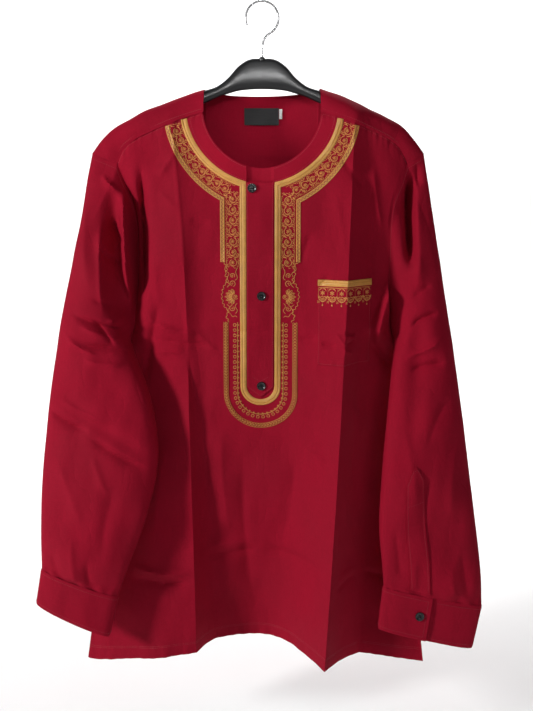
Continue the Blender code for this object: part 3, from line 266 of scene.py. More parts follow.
# Small creases: x and down of both ends, sideways bow, height (a trough where negative), half width, and how
# much wider the side below the line is
FRONT_CREASES = (
    (-0.176, 0.450, -0.120, 0.470, 0.002, 0.0034, 0.0032, 1.2),
    (-0.166, 0.500, -0.110, 0.496, 0.002, 0.0030, 0.0034, 1.2),
    (-0.098, 0.470, -0.062, 0.500, 0.002, 0.0020, 0.0034, 1.2),
    (0.060, 0.640, 0.096, 0.655, 0.002, 0.0018, 0.0034, 1.2),
    (0.128, 0.560, 0.150, 0.640, -0.002, 0.0030, 0.0036, 1.2),
    (0.132, 0.640, 0.148, 0.760, 0.002, -0.0030, 0.0040, 1.2),
    (0.120, 0.700, 0.130, 0.820, -0.002, 0.0024, 0.0040, 1.2),
    (-0.090, 0.560, -0.080, 0.760, 0.002, -0.0018, 0.0050, 1.2),
    (-0.177, 0.220, -0.177, 0.430, 0.000, -0.0200, 0.0050, 1.0),
    (-0.150, 0.420, -0.178, 0.560, 0.002, -0.0060, 0.0070, 1.0),
    (0.190, 0.376, 0.154, 0.466, -0.002, -0.0050, 0.0060, 1.0),
    (0.197, 0.380, 0.166, 0.502, 0.003, 0.0220, 0.0130, 1.0),
    (0.154, 0.466, 0.196, 0.530, 0.002, -0.0070, 0.0060, 1.2),
    (0.112, 0.215, 0.150, 0.262, 0.002, -0.0031, 0.0043, 1.2),
    (-0.120, 0.205, -0.150, 0.250, 0.002, 0.0031, 0.0051, 1.2),
    (0.160, 0.220, 0.176, 0.330, 0.002, 0.0037, 0.0051, 1.2),
    (-0.107, 0.304, -0.074, 0.312, 0.002, -0.0020, 0.0028, 1.6),
    (-0.150, 0.262, -0.118, 0.292, 0.003, 0.0017, 0.0037, 1.4),
    (0.081, 0.401, 0.099, 0.383, 0.001, -0.0024, 0.0030, 1.5),
    (-0.172, 0.460, -0.080, 0.471, 0.003, 0.0027, 0.0031, 1.8),
    (-0.168, 0.479, -0.070, 0.490, 0.002, -0.0037, 0.0037, 1.5),
    (-0.085, 0.472, 0.019, 0.469, -0.002, -0.0015, 0.0037, 1.6),
    (0.052, 0.480, 0.082, 0.476, 0.001, -0.0024, 0.0031, 1.5),
    (0.084, 0.482, 0.110, 0.486, 0.001, -0.0027, 0.0028, 1.4),
    (0.106, 0.466, 0.123, 0.487, 0.001, 0.0024, 0.0030, 1.5),
    (0.119, 0.462, 0.137, 0.470, 0.002, -0.0037, 0.0028, 1.3),
    (0.119, 0.471, 0.137, 0.480, -0.002, 0.0037, 0.0028, 1.3),
    (0.119, 0.483, 0.136, 0.475, 0.002, -0.0034, 0.0028, 1.3),
    (0.117, 0.492, 0.134, 0.499, -0.001, 0.0027, 0.0028, 1.3),
    (-0.207, 0.826, -0.102, 0.840, 0.004, 0.0037, 0.0037, 1.7),
    (-0.205, 0.846, -0.104, 0.858, 0.003, -0.0044, 0.0042, 1.4),
    (-0.095, 0.824, -0.004, 0.816, 0.002, -0.0027, 0.0042, 1.6),
    (-0.090, 0.806, 0.000, 0.800, 0.002, 0.0017, 0.0049, 1.4),
    (0.000, 0.816, 0.097, 0.826, -0.003, -0.0031, 0.0042, 1.6),
    (0.105, 0.853, 0.147, 0.838, 0.002, -0.0044, 0.0037, 1.5),
    (0.110, 0.836, 0.146, 0.824, 0.002, 0.0027, 0.0037, 1.4),
    (0.146, 0.838, 0.205, 0.846, 0.002, -0.0034, 0.0037, 1.5),
    (0.074, 0.321, 0.057, 0.377, 0.003, -0.0024, 0.0051, 1.3),
    (0.103, 0.262, 0.122, 0.372, -0.002, 0.0015, 0.0043, 1.2),
    (-0.118, 0.423, -0.094, 0.605, 0.003, -0.0031, 0.0051, 1.3),
    (-0.060, 0.600, -0.048, 0.800, 0.006, 0.0027, 0.0119, 1.3),
    (0.050, 0.640, 0.028, 0.820, -0.005, -0.0031, 0.0102, 1.3),
    (-0.030, 0.640, -0.012, 0.930, 0.006, -0.0034, 0.0110, 1.2),
    (-0.140, 0.620, -0.168, 0.800, 0.005, 0.0034, 0.0093, 1.3),
    (-0.190, 0.560, -0.215, 0.720, 0.004, -0.0034, 0.0076, 1.4),
    (0.170, 0.560, 0.186, 0.760, -0.004, -0.0037, 0.0068, 1.3),
    (0.186, 0.640, 0.214, 0.900, -0.004, 0.0034, 0.0076, 1.2),
    (-0.232, 0.800, -0.240, 0.960, 0.002, 0.0034, 0.0085, 1.3),
    (-0.160, 0.350, -0.150, 0.440, 0.002, 0.0022, 0.0068, 1.2),
    (0.158, 0.300, 0.166, 0.430, 0.003, -0.0027, 0.0043, 1.2),
    (-0.045, 0.330, -0.036, 0.392, 0.002, 0.0010, 0.0059, 1.2),
)
BACK_CREASES = (
    (-0.120, 0.300, -0.060, 0.420, 0.008, 0.0036, 0.0085, 1.4),
    (0.110, 0.290, 0.060, 0.430, -0.010, 0.0039, 0.0093, 1.4),
    (-0.170, 0.330, -0.120, 0.500, 0.010, -0.0042, 0.0085, 1.3),
    (0.172, 0.340, 0.130, 0.520, -0.008, -0.0039, 0.0076, 1.4),
    (-0.165, 0.470, -0.040, 0.476, 0.003, 0.0024, 0.0037, 1.7),
    (-0.030, 0.472, 0.150, 0.466, -0.004, -0.0027, 0.0042, 1.5),
    (-0.200, 0.826, -0.050, 0.820, 0.004, 0.0030, 0.0042, 1.6),
    (-0.040, 0.838, 0.110, 0.826, -0.004, -0.0033, 0.0049, 1.5),
    (0.120, 0.832, 0.215, 0.842, 0.003, 0.0027, 0.0042, 1.5),
    (-0.030, 0.540, -0.060, 0.780, 0.008, -0.0045, 0.0119, 1.3),
    (0.050, 0.520, 0.075, 0.800, -0.009, 0.0042, 0.0127, 1.3),
    (0.000, 0.240, 0.006, 0.450, 0.003, 0.0030, 0.0093, 1.2),
    (-0.180, 0.600, -0.215, 0.900, 0.006, 0.0042, 0.0102, 1.4),
    (0.165, 0.600, 0.200, 0.880, -0.007, -0.0039, 0.0093, 1.3),
    (-0.060, 0.800, -0.075, 0.960, 0.003, 0.0033, 0.0093, 1.2),
    (0.020, 0.700, 0.030, 0.950, -0.004, -0.0036, 0.0102, 1.3),
)
RIGHT_SLEEVE_CREASES = (
    (-0.238, 0.352, -0.208, 0.372, 0.002, -0.0050, 0.0030, 1.3),
    (-0.290, 0.470, -0.236, 0.500, 0.003, 0.0036, 0.0030, 1.2),
    (-0.252, 0.446, -0.214, 0.492, -0.004, -0.0040, 0.0030, 1.2),
    (-0.228, 0.456, -0.200, 0.446, 0.001, 0.0034, 0.0030, 1.2),
    (-0.246, 0.640, -0.222, 0.700, 0.003, 0.0021, 0.0040, 1.2),
    (-0.296, 0.842, -0.250, 0.852, 0.001, 0.0028, 0.0030, 1.2),
    (-0.201, 0.212, -0.195, 0.450, 0.002, 0.0340, 0.0070, 1.0),
    (-0.238, 0.300, -0.232, 0.450, 0.002, 0.0060, 0.0051, 1.0),
    (-0.236, 0.240, -0.206, 0.268, 0.002, 0.0054, 0.0031, 1.2),
    (-0.226, 0.300, -0.200, 0.346, 0.004, -0.0060, 0.0047, 1.3),
    (-0.240, 0.320, -0.216, 0.372, 0.003, 0.0036, 0.0059, 1.2),
    (-0.281, 0.440, -0.186, 0.466, 0.005, -0.0051, 0.0034, 1.5),
    (-0.270, 0.455, -0.200, 0.480, 0.002, 0.0039, 0.0037, 1.3),
    (-0.276, 0.486, -0.182, 0.497, -0.003, -0.0045, 0.0031, 1.4),
    (-0.262, 0.505, -0.196, 0.512, 0.003, 0.0033, 0.0037, 1.3),
    (-0.250, 0.420, -0.196, 0.436, 0.002, -0.0030, 0.0031, 1.3),
    (-0.316, 0.576, -0.249, 0.610, 0.004, -0.0051, 0.0037, 1.6),
    (-0.256, 0.612, -0.165, 0.664, 0.004, -0.0054, 0.0042, 1.6),
    (-0.300, 0.560, -0.220, 0.596, 0.003, 0.0036, 0.0049, 1.2),
    (-0.306, 0.640, -0.262, 0.760, -0.005, 0.0027, 0.0093, 1.3),
    (-0.210, 0.680, -0.236, 0.800, 0.004, -0.0023, 0.0076, 1.3),
    (-0.308, 0.780, -0.290, 0.856, 0.003, -0.0027, 0.0051, 1.3),
    (-0.278, 0.760, -0.270, 0.852, 0.003, 0.0023, 0.0059, 1.3),
    (-0.255, 0.790, -0.250, 0.866, 0.002, -0.0025, 0.0043, 1.3),
    (-0.262, 0.250, -0.256, 0.400, 0.003, 0.0024, 0.0102, 1.2),
)
LEFT_SLEEVE_CREASES = (
    (0.215, 0.226, 0.218, 0.378, 0.001, -0.0180, 0.0042, 1.0),
    (0.226, 0.222, 0.228, 0.420, 0.001, 0.0050, 0.0060, 1.0),
    (0.226, 0.216, 0.230, 0.262, 0.001, -0.0060, 0.0040, 1.0),
    (0.226, 0.262, 0.236, 0.420, 0.003, 0.0027, 0.0068, 1.2),
    (0.262, 0.440, 0.215, 0.462, 0.004, -0.0051, 0.0034, 1.5),
    (0.268, 0.474, 0.206, 0.506, -0.003, 0.0039, 0.0037, 1.3),
    (0.272, 0.512, 0.215, 0.524, 0.003, -0.0045, 0.0037, 1.4),
    (0.250, 0.400, 0.218, 0.420, 0.002, -0.0027, 0.0031, 1.3),
    (0.276, 0.560, 0.240, 0.640, 0.006, -0.0021, 0.0068, 1.3),
    (0.206, 0.600, 0.222, 0.730, -0.004, 0.0021, 0.0085, 1.3),
    (0.290, 0.620, 0.276, 0.740, 0.005, 0.0020, 0.0076, 1.3),
    (0.246, 0.660, 0.236, 0.780, 0.004, -0.0023, 0.0068, 1.3),
    (0.196, 0.740, 0.206, 0.830, 0.003, -0.0021, 0.0051, 1.3),
    (0.294, 0.780, 0.306, 0.862, 0.003, -0.0021, 0.0055, 1.3),
    (0.276, 0.800, 0.286, 0.860, 0.002, 0.0015, 0.0051, 1.3),
    (0.222, 0.790, 0.226, 0.846, 0.002, 0.0017, 0.0051, 1.3),
)
CREASE_END = 0.32
CREST_ROUNDING = 0.22
# Pressed edges down the front: height and half width
PRESSED_LINES = ("right crease", "left crease")
PRESSED_HEIGHT = 0.0013
PRESSED_WIDTH = 0.0020
# The seam under the yoke: how deep it draws the cloth in, and over which distance
YOKE_SEAM_DEPTH = 0.0014
YOKE_SEAM_REACH = 0.0030
EDGE_FADE = 0.005
YOKE_TUCK = 0.0014
BACK_SIDE_FADE = 0.03
BACK_TOP_FADE = 0.02
# Gathers beside the seams: how far they reach, their pitch and their height
YOKE_GATHERS = (0.014, 0.0085, 0.0005)
YOKE_BACK_GATHERS = (0.006, 0.012, 0.0003)
YOKE_BACK_FROM_Y = 0.03
YOKE_EDGE_ROWS = 6
HEM_GATHERS = (0.016, 0.017, 0.0006)
BORDER_GATHERS = (0.010, 0.013, 0.00025)
POCKET_GATHERS = (0.007, 0.011, 0.00035)
CUFF_GATHERS = (0.012, 0.021, 0.0011)
BESIDE_NECK_FADE = 0.004
BORDER_HALF_SPREAD = 0.055
BORDER_GATHERS_END = 0.62
POCKET_GATHERS_X = (0.068, 0.166)
# The front is cut back behind the placket's top: the notch's soft edges across and down
NOTCH_SIDE = 0.0012
NOTCH_END = 0.004
# Sleeves: creases fade out at the armhole and the cuff, and the back repeats the front's a little aside,
# standing out or sinking in by no more than the limit
SLEEVE_FADES = (0.05, 0.03)
FRONT_TURN = 4.0
BACK_TURN = 2.0
BEHIND_SHIFT = (0.012, 0.02)
BEHIND_LIMIT = 0.003
SLEEVE_LENGTH = 0.45
SEAM_PULL = 0.03
WRIST_ROUND = 0.3
CUFF_SEAM_DEPTH = 0.0012
CUFF_SEAM_REACH = 0.004
CUFF_RIPPLE = 0.0007
CUFF_RIPPLE_WAVES = 47.0
# Slow unevenness of the cloth: waves per metre across and down, phase and height
SLOW_WAVES = (
    (7.0, 3.0, 0.4, 0.0012),
    (-4.0, 9.0, 2.1, 0.0009),
    (13.0, -6.0, 1.2, 0.0006),
    (3.0, 17.0, 3.3, 0.0004),
    (29.0, 8.0, 5.0, 0.0002),
)

# Fine grids: how often each step of the coarse tables is cut
COLUMN_SPLIT = 5
ROW_SPLIT = 13
ARCH_SPLIT = 4
LOOP_SPLIT = 6
SLEEVE_PLACE_SPLIT = 6
SLEEVE_ROW_SPLIT = 13
CUFF_SPLIT = 5
CUFF_FINE_ROWS = 27
SLEEVE_PLACKET_GRID = (81, 13)
PLACKET_GRID = (221, 33)
NECK_BAND_GRID = (241, 15)
POCKET_GRID = (101, 81)
POCKET_BAND_GRID = (15, 121)

# Placket and neck band
PLACKET_TOP_LEVEL = 0.2505
PLACKET_LIFT = 0.0021
PLACKET_WALL = 0.0013
PLACKET_EDGE_ROLL = 0.0005
SLEEVE_PLACKET_LIFT = 0.0024
SLEEVE_PLACKET_WALL = 0.0020
PLACKET_GAPES = ((0.330, 0.035, 0.0014), (0.480, 0.030, 0.0012))
NECK_BAND_LIFT = 0.0009
NOTCH_DEPTH = 0.0038

# Embroidered borders: share across and height
INNER_PROFILE = (
    (0.00, -0.0003), (0.03, 0.0008), (0.12, 0.0013), (0.30, 0.0014), (0.36, 0.0006), (0.42, 0.0014),
    (0.60, 0.0017), (0.85, 0.0013), (0.97, 0.0008), (1.00, -0.0003),
)
OUTER_PROFILE = (
    (0.00, -0.0003), (0.06, 0.0009), (0.20, 0.0010), (0.28, 0.0004), (0.50, 0.0006), (0.72, 0.0004),
    (0.80, 0.0010), (0.94, 0.0009), (1.00, -0.0003),
)
LATTICE_PROFILE = ((0.00, -0.0003), (0.05, 0.0004), (0.50, 0.0006), (0.95, 0.0004), (1.00, -0.0003))
INNER_X = {-1: -0.0276, 1: 0.0225}
OUTER_X = {-1: -0.0577, 1: 0.0525}
SCROLL_ARC = (0.1262, 0.1215)
SCROLL_X = {-1: -0.0425, 1: 0.0374}
SCROLL_END = 0.377
SCROLL_EDGE = 0.0096
FAN_DOWN = 0.4165
FAN_OUTLINE = (
    (0.0150, -0.0500), (0.0085, -0.0420), (0.0110, -0.0310), (0.0070, -0.0230), (0.0130, -0.0150),
    (0.0165, 0.0000), (0.0130, 0.0150), (0.0070, 0.0220), (0.0100, 0.0300), (0.0060, 0.0380),
)
FAN_TENDRILS = (
    ((0.0105, -0.0450), (0.0118, -0.0380), (0.0060, -0.0330), (0.0085, -0.0270)),
    ((0.0085, -0.0270), (0.0100, -0.0215), (0.0050, -0.0175), (0.0090, -0.0125)),
    ((0.0095, 0.0120), (0.0050, 0.0165), (0.0085, 0.0215), (0.0040, 0.0260)),
    ((0.0040, 0.0260), (0.0010, 0.0300), (-0.0030, 0.0290), (-0.0060, 0.0310)),
    ((-0.0070, -0.0420), (-0.0040, -0.0350), (-0.0066, -0.0270), (-0.0030, -0.0230)),
    ((-0.0060, 0.0100), (-0.0030, 0.0150), (-0.0064, 0.0210), (-0.0030, 0.0260)),
)
LOWER_CENTRE = (-0.0026, 0.561)
LOWER_TOP = 0.455
ROPE_RADIUS = 0.0335
RING_RADIUS = 0.0378
RING_PITCH = 0.0078
LATTICE_PITCH = 0.0088
LATTICE_SWING = 0.0026
LATTICE_EDGE = 0.0031

# Pocket
POCKET_LIFT = 0.0014
POCKET_WIDTH = 0.082
POCKET_WALL = 0.0009
# Height, middle and spread across, and reach downwards
POCKET_GAPE = (0.0016, 0.42, 0.22, 0.018)
POCKET_REPEATS = 6

# Buttons
BUTTON_FACE = np.array([
    (0.0, 0.48, 0.60, 0.72, 0.82, 0.95),
    (0.0002, 0.0001, 0.0003, 0.0008, 0.0012, 0.0011),
])
BUTTON_EDGE = np.array([(0.985, 0.0008), (1.0, 0.0002), (1.0, -0.0004), (0.96, -0.0010), (0.5, -0.0012)])
HOLE_SPREAD = 0.0011
HOLE_RADIUS = 0.00065
COLLAR_PROFILE = np.array([
    (-0.0020, 0.0040), (0.0000, 0.0041), (0.0016, 0.0040), (0.0024, 0.0034), (0.0030, 0.0026),
    (0.0034, 0.0019),
])

# Stage
CAMERA_PLACE = (0.0064, -1.350, -0.2733)
CAMERA_TILT = 80.0
CAMERA_LENS = 60.79
CAMERA_SENSOR = 36.0
FLOOR_DOWN = 1.14
SWEEP_FLAT = 2.6
SWEEP_BEND = 0.9
# name, place, aim, size, power
LAMPS = (
    ("key light", (-2.40, -1.39, 0.30), (0.0, 0.0, -0.45), 0.45, 58.0),
    ("fill light", (1.30, -2.10, 0.20), (0.0, 0.0, -0.40), 1.4, 6.0),
    ("top light", (0.1, -1.30, 0.60), (0.0, 0.0, -0.25), 1.0, 2.0),
    ("neck light", (0.0, -1.00, -0.02), (0.0, 0.04, -0.160), 0.10, 30.0),
    ("backdrop light", (0.0, 1.65, 1.60), (0.0, 3.10, -0.60), 1.8, 118.0),
    ("back light", (0.5, 1.5, 0.9), (0.0, 0.0, -0.5), 1.2, 12.0),
)
NECK_CONE = math.radians(11.0)
SKY_STRENGTH = 0.05


def along_rows(at, knots, values):
    """A smooth curve through a table's rows: cubics whose slopes come from the neighbouring rows."""
    knots = np.asarray(knots, float)
    values = np.asarray(values, float)
    slopes = np.gradient(values, knots)
    at = np.clip(at, knots[0], knots[-1])
    low = np.clip(np.searchsorted(knots, at, side="right") - 1, 0, len(knots) - 2)
    span = knots[low + 1] - knots[low]
    share = (at - knots[low]) / span
    rise = share * share * (3 - 2 * share)
    return (
        values[low] * (1 - rise)
        + values[low + 1] * rise
        + slopes[low] * span * share * (1 - share) ** 2
        - slopes[low + 1] * span * share * share * (1 - share)
    )


def smooth_step(share):
    """0 up to 0, 1 from 1 on, with level ends."""
    share = np.clip(share, 0.0, 1.0)
    return share * share * (3 - 2 * share)


def soft_ramp(distance, radius):
    """0 before the line and the distance after it, with the bend rounded over the radius on both sides."""
    inside = (np.clip(distance, -radius, radius) + radius) ** 2 / (4 * radius)
    return np.where(distance > radius, distance, inside)


def unit(vectors, least=1e-12):
    """Vectors of length one: each divided by its length, or by the least length where it is shorter."""
    return vectors / np.maximum(np.linalg.norm(vectors, axis=-1, keepdims=True), least)


def square_to(runs):
    """Flat vectors turned by a quarter, from (a, b) to (b, -a)."""
    return np.stack([runs[..., 1], -runs[..., 0]], axis=-1)


def lengths(path):
    """The distance run up to each point of a path: the running sum of its steps."""
    return np.concatenate([[0.0], np.cumsum(np.linalg.norm(np.diff(path, axis=0), axis=1))])


def points_at(path, at):
    """The points at given distances along a path, straight between its own points."""
    run = lengths(path)
    return np.stack([np.interp(at, run, path[:, axis]) for axis in range(path.shape[1])], axis=-1)


def edge_roll(near):
    """How far a rounded edge falls back: 1 on the edge and 0 from one step on, along a quarter circle."""
    return 1 - np.sqrt(np.clip(1 - (1 - np.clip(near, 0, 1)) ** 2, 0, 1))


def beside_line(x, down, start_x, start_down, end_x, end_down, fade):
    """Share of the way along a line, signed distance from it, and how far it has faded in from its ends."""
    run_x, run_down = end_x - start_x, end_down - start_down
    length = math.hypot(run_x, run_down)
    share = ((x - start_x) * run_x + (down - start_down) * run_down) / length**2
    across = ((down - start_down) * run_x - (x - start_x) * run_down) / length
    return share, across, smooth_step(share / fade) * smooth_step((1 - share) / fade)


def side_edge(side, down):
    """x, front y and back y of the armhole and the side seam."""
    table = np.array(SIDE_EDGES)
    first = 1 if side < 0 else 3
    x = along_rows(down, table[:, 0], table[:, first])
    front = along_rows(down, table[:, 0], table[:, first + 1])
    back = along_rows(down, table[:, 0], table[:, 5])
    seam_back = front + 2 * CAD_CLOTH + SEAM_ROOM
    below = smooth_step((down - CLOSING_FROM_DOWN) / (UNDERARM_DOWN - CLOSING_FROM_DOWN))
    return x, front, back * (1 - below) + seam_back * below


def fold_lines(lines, first_value, down, face):
    """x, y and radius of every line at the given levels, side edges included; face -1 is the front."""
    right_x, right_front, right_back = side_edge(-1, down)
    left_x, left_front, left_back = side_edge(1, down)
    xs = [right_x]
    ys = [right_front if face < 0 else right_back]
    radii = [0.0]
    for line in lines:
        numbers = line[first_value:]
        xs.append(along_rows(down, FOLD_LEVELS, numbers[1::2]))
        ys.append(along_rows(down, FOLD_LEVELS, numbers[2::2]))
        radii.append(numbers[0])
    xs.append(left_x)
    ys.append(left_front if face < 0 else left_back)
    radii.append(0.0)
    return xs, ys, radii


def fold_height(x, down, lines, first_value, face):
    """y of a panel: the first facet's slope, plus the change of slope at each line, rounded."""
    xs, ys, radii = fold_lines(lines, first_value, down, face)
    slopes = [(ys[i + 1] - ys[i]) / (xs[i + 1] - xs[i]) for i in range(len(xs) - 1)]
    y = ys[0] + slopes[0] * (x - xs[0])
    for i in range(1, len(slopes)):
        room = 0.9 * np.minimum(xs[i] - xs[i - 1], xs[i + 1] - xs[i])
        y = y + (slopes[i] - slopes[i - 1]) * soft_ramp(x - xs[i], np.minimum(radii[i], room))
    return y


def front_y(x, down):
    """Depth of the front's outer face."""
    return fold_height(x, down, FRONT_LINES, 3, -1)


def back_y(x, down):
    """Depth of the back's outer face."""
    return fold_height(x, down, BACK_LINES, 1, 1)


def neck_arc_down(x, half_width, drop):
    """A squarish half ellipse that hangs from the yoke seam round the neck."""
    share = np.clip(np.abs(x) / half_width, 0.0, 1.0)
    return NECK_TOP + drop * (1 - share**NECK_SQUARENESS) ** (1 / NECK_SQUARENESS)


def shoulder_level(share, column):
    """Down to the ridge (1), the front seam (2) or the back seam (3) at a share of the shoulder."""
    table = np.array(SHOULDER)
    return along_rows(share, table[:, 0], table[:, column])


def front_top_down(x):
    """Down to the front's upper edge: the neckline in the middle and the yoke seam beside it."""
    share = (np.abs(x) - NECK_HALF_WIDTH) / (YOKE_END_X - NECK_HALF_WIDTH)
    seam = shoulder_level(np.clip(share, 0.0, 1.0), 2)
    neckline = neck_arc_down(x, NECK_HALF_WIDTH, NECK_DROP)
    return np.where(np.abs(x) < NECK_HALF_WIDTH, neckline, seam)


def hem_down(x, level):
    """A level row, lowered towards the sides and raised in the middle as it nears the hem."""
    near_hem = np.clip((level - UNDERARM_DOWN) / (HEM_DOWN - UNDERARM_DOWN), 0.0, 1.0) ** 2
    spread = np.clip(np.abs(x) / HEM_HALF_WIDTH, 0.0, 1.0) ** 1.5
    return level + near_hem * (HEM_SIDE_DROP * spread - HEM_CENTRE_RISE)


def cell_shares(cells, crowding):
    """Places of a stretch's columns, crowded at its start or its end, or even."""
    even = np.arange(cells) / cells
    if crowding == "start":
        return 1 - np.cos(even * math.pi / 2)
    if crowding == "end":
        return np.sin(even * math.pi / 2)
    return even


def front_columns():
    """Every column as a line number plus a share of the way to the next, and each named line's column."""
    places = [cell_shares(FIRST_CELLS, "even")]
    named = {}
    count = FIRST_CELLS
    for number, (name, cells, crowding, *_) in enumerate(FRONT_LINES, start=1):
        named[name] = count
        places.append(number + cell_shares(cells, crowding))
        count += cells
    places.append(np.array([len(FRONT_LINES) + 1.0]))
    return np.concatenate(places), named


def front_x(places, down):
    """x of the columns at the given levels, straight between neighbouring lines."""
    xs = np.stack(fold_lines(FRONT_LINES, 3, down, -1)[0])
    low = np.minimum(places.astype(int), len(xs) - 2)
    share = places - low
    index = np.broadcast_to(low, down.shape)
    lower = np.take_along_axis(xs, index[None], 0)[0]
    upper = np.take_along_axis(xs, index[None] + 1, 0)[0]
    return lower + (upper - lower) * share


def shoulder_arch(side, share, turn, face):
    """A point of the arch over the shoulder: turn 0 is the ridge, 1 the seam; face -1 is the front half."""
    angle = turn * math.pi / 2
    ridge_x = NECK_HALF_WIDTH + share * (SHOULDER_TIP_X[side] - NECK_HALF_WIDTH)
    seam_x = NECK_HALF_WIDTH + share * (YOKE_END_X - NECK_HALF_WIDTH)
    x = seam_x + (ridge_x - seam_x) * np.cos(angle)
    ridge_down = shoulder_level(share, 1)
    seam_down = shoulder_level(share, 2 if face < 0 else 3)
    seam_y = (front_y if face < 0 else back_y)(side * seam_x, seam_down)
    down = seam_down + (ridge_down - seam_down) * np.cos(angle)
    y = RIDGE_DEPTH + (seam_y - RIDGE_DEPTH) * np.sin(angle)
    reach_y = np.abs(seam_y - RIDGE_DEPTH)
    reach_z = seam_down - ridge_down
    wall = np.stack([np.zeros_like(y), -face * reach_z * np.sin(angle), -reach_y * np.cos(angle)], axis=-1)
    blend = share[..., None] ** ARMHOLE_WALL_POWER
    wall = unit(unit(wall) * (1 - blend) + armhole_wall(side, turn, face) * blend)
    return np.stack([side * x, y, -down], axis=-1), wall


def armhole_wall(side, turn, face):
    """Direction of the wall along the armhole's edge over the shoulder, shared by the yoke and the sleeve."""
    angle = np.asarray(turn, float) * math.pi / 2
    lean_x, lean_z = SHOULDER_WALL_LEAN
    return unit(np.stack(
        [-side * lean_x * np.cos(angle), -face * np.sin(angle), -lean_z * np.cos(angle)], axis=-1))


def back_neck_patch(x, turns):
    """The yoke between the shoulders: from the back neckline down to the back seam."""
    angle = turns[:, None] * math.pi / 2
    round_share = np.sqrt(np.clip(1 - (x / NECK_HALF_WIDTH) ** 2, 0.0, 1.0))
    neck_y = RIDGE_DEPTH + (BACK_NECK_DEPTH - RIDGE_DEPTH) * round_share
    corner_down = SHOULDER[0][1]
    neck_down = corner_down + (BACK_NECK_DOWN - corner_down) * round_share
    seam_down = SHOULDER[0][3]
    seam_y = back_y(x, np.full_like(x, seam_down))
    down = seam_down + (neck_down - seam_down) * np.cos(angle)
    y = neck_y + (seam_y - neck_y) * np.sin(angle)
    lean = BACK_NECK_LEAN * (1 - np.abs(x) / NECK_HALF_WIDTH)
    wall_y = -((seam_down - neck_down) * np.sin(angle) + lean)
    wall_z = -(seam_y - neck_y) * np.cos(angle)
    wall = unit(np.stack([np.zeros_like(y), wall_y, wall_z], axis=-1))
    return np.stack([np.broadcast_to(x, y.shape), y, -down], axis=-1), wall


def armhole_loop(side):
    """Points and wall directions round the armhole: up the front, over the shoulder and down the back."""
    levels = finer([level for level in ROW_LEVELS if level <= UNDERARM_DOWN][::-1], LOOP_SPLIT)
    x, front, back = side_edge(side, levels)
    front_edge = np.stack([x, front, -levels], axis=-1)
    back_edge = np.stack([x, back, -levels], axis=-1)[::-1]
    turns = np.linspace(0.0, 1.0, ARCH_CELLS * LOOP_SPLIT + 1)
    one = np.ones_like(turns)
    over_front, wall_front = shoulder_arch(side, one, turns, -1)
    over_back, wall_back = shoulder_arch(side, one, turns, 1)
    points = np.concatenate([front_edge, over_front[::-1][1:], over_back[1:], back_edge[1:]])
    towards_back = np.tile([0.0, 1.0, 0.0], (len(front_edge), 1))
    walls = np.concatenate([towards_back, wall_front[::-1][1:], wall_back[1:], -towards_back[1:]])
    return points, walls


def fold_depth(x, down, folds):
    """Inward depth of the long folds: a rounded trough along each line that fades out at both ends."""
    depth = np.zeros_like(x)
    for *line, deep, half_width in folds:
        _, across, ends = beside_line(x, down, *line, FOLD_END)
        depth += deep * ends * np.exp(-((across / half_width) ** 2))
    return depth


def sleeve_rings(side):
    """The side's ring table."""
    return np.array(LEFT_SLEEVE if side > 0 else RIGHT_SLEEVE)


def ring_points(edges, angle):
    """A flattened ring: inner edge at angle 0, outer edge at half a turn, the front in between."""
    inner_x, inner_down, inner_y, outer_x, outer_down, outer_y, front_bulge, back_bulge = edges
    across = (1 - np.cos(angle)) / 2
    x = inner_x + (outer_x - inner_x) * across
    down = inner_down + (outer_down - inner_down) * across
    y = inner_y + (outer_y - inner_y) * across
    wave = np.sin(angle)
    rounded = np.abs(wave) ** RING_SQUARENESS
    pinch = (CAD_CLOTH + SEAM_ROOM / 2) * (1 - across) ** PINCH_POWER
    y = y + np.where(angle <= math.pi, -front_bulge * rounded - pinch, back_bulge * rounded + pinch)
    return np.stack([x, y, -down], axis=-1)


def sleeve_points(side, share, place):
    """Points of a sleeve's outer face, by the share of its length and the place round it, from 0 to 1."""
    loop, _ = armhole_loop(side)
    count = len(loop) - 1
    rings = sleeve_rings(side)
    edges = [along_rows(share, rings[:, 0], rings[:, column]) for column in range(1, rings.shape[1])]
    underarm = rings[0, 2]
    rise = np.clip((underarm + loop[:, 2]) / (underarm - rings[0, 5]), 0.0, 1.0)
    loop_angle = np.arccos(1 - 2 * rise)
    loop_angle[count // 2 + 1:] = 2 * math.pi - loop_angle[count // 2 + 1:]
    position = np.arange(count + 1) / count
    start_angle = np.interp(place, position, loop_angle)
    even_from, even_to = EVEN_RING_SHARES
    even = smooth_step((share - even_from) / (even_to - even_from))
    angle = start_angle * (1 - even) + 2 * math.pi * place * even
    points = ring_points(edges, angle)
    first_edges = [rings[0, column] + 0 * place for column in range(1, rings.shape[1])]
    armhole = np.stack([np.interp(place, position, loop[:, axis]) for axis in range(3)], axis=-1)
    correction = armhole - ring_points(first_edges, start_angle)
    fade = (1 - smooth_step(share / ARMHOLE_FADE))[..., None]
    points = points + correction * fade
    folds = LEFT_SLEEVE_FOLDS if side > 0 else RIGHT_SLEEVE_FOLDS
    depth = fold_depth(points[..., 0], -points[..., 2], folds)
    front = np.clip(np.sin(angle), 0.0, 1.0) * smooth_step(share / FOLDS_FROM_SHARE)
    points[..., 1] += depth * front
    return points


def grid_normals(points):
    """Unit vectors square to a grid: the cross product of its steps along rows and columns."""
    return unit(np.cross(np.gradient(points, axis=0), np.gradient(points, axis=1)))


def grid_walls(points, towards):
    """Unit wall directions of a grid, square to its rows and columns and on the side of the given points."""
    walls = grid_normals(points)
    facing = np.sum(walls * (towards - points), axis=-1)
    return walls * np.sign(np.mean(facing))


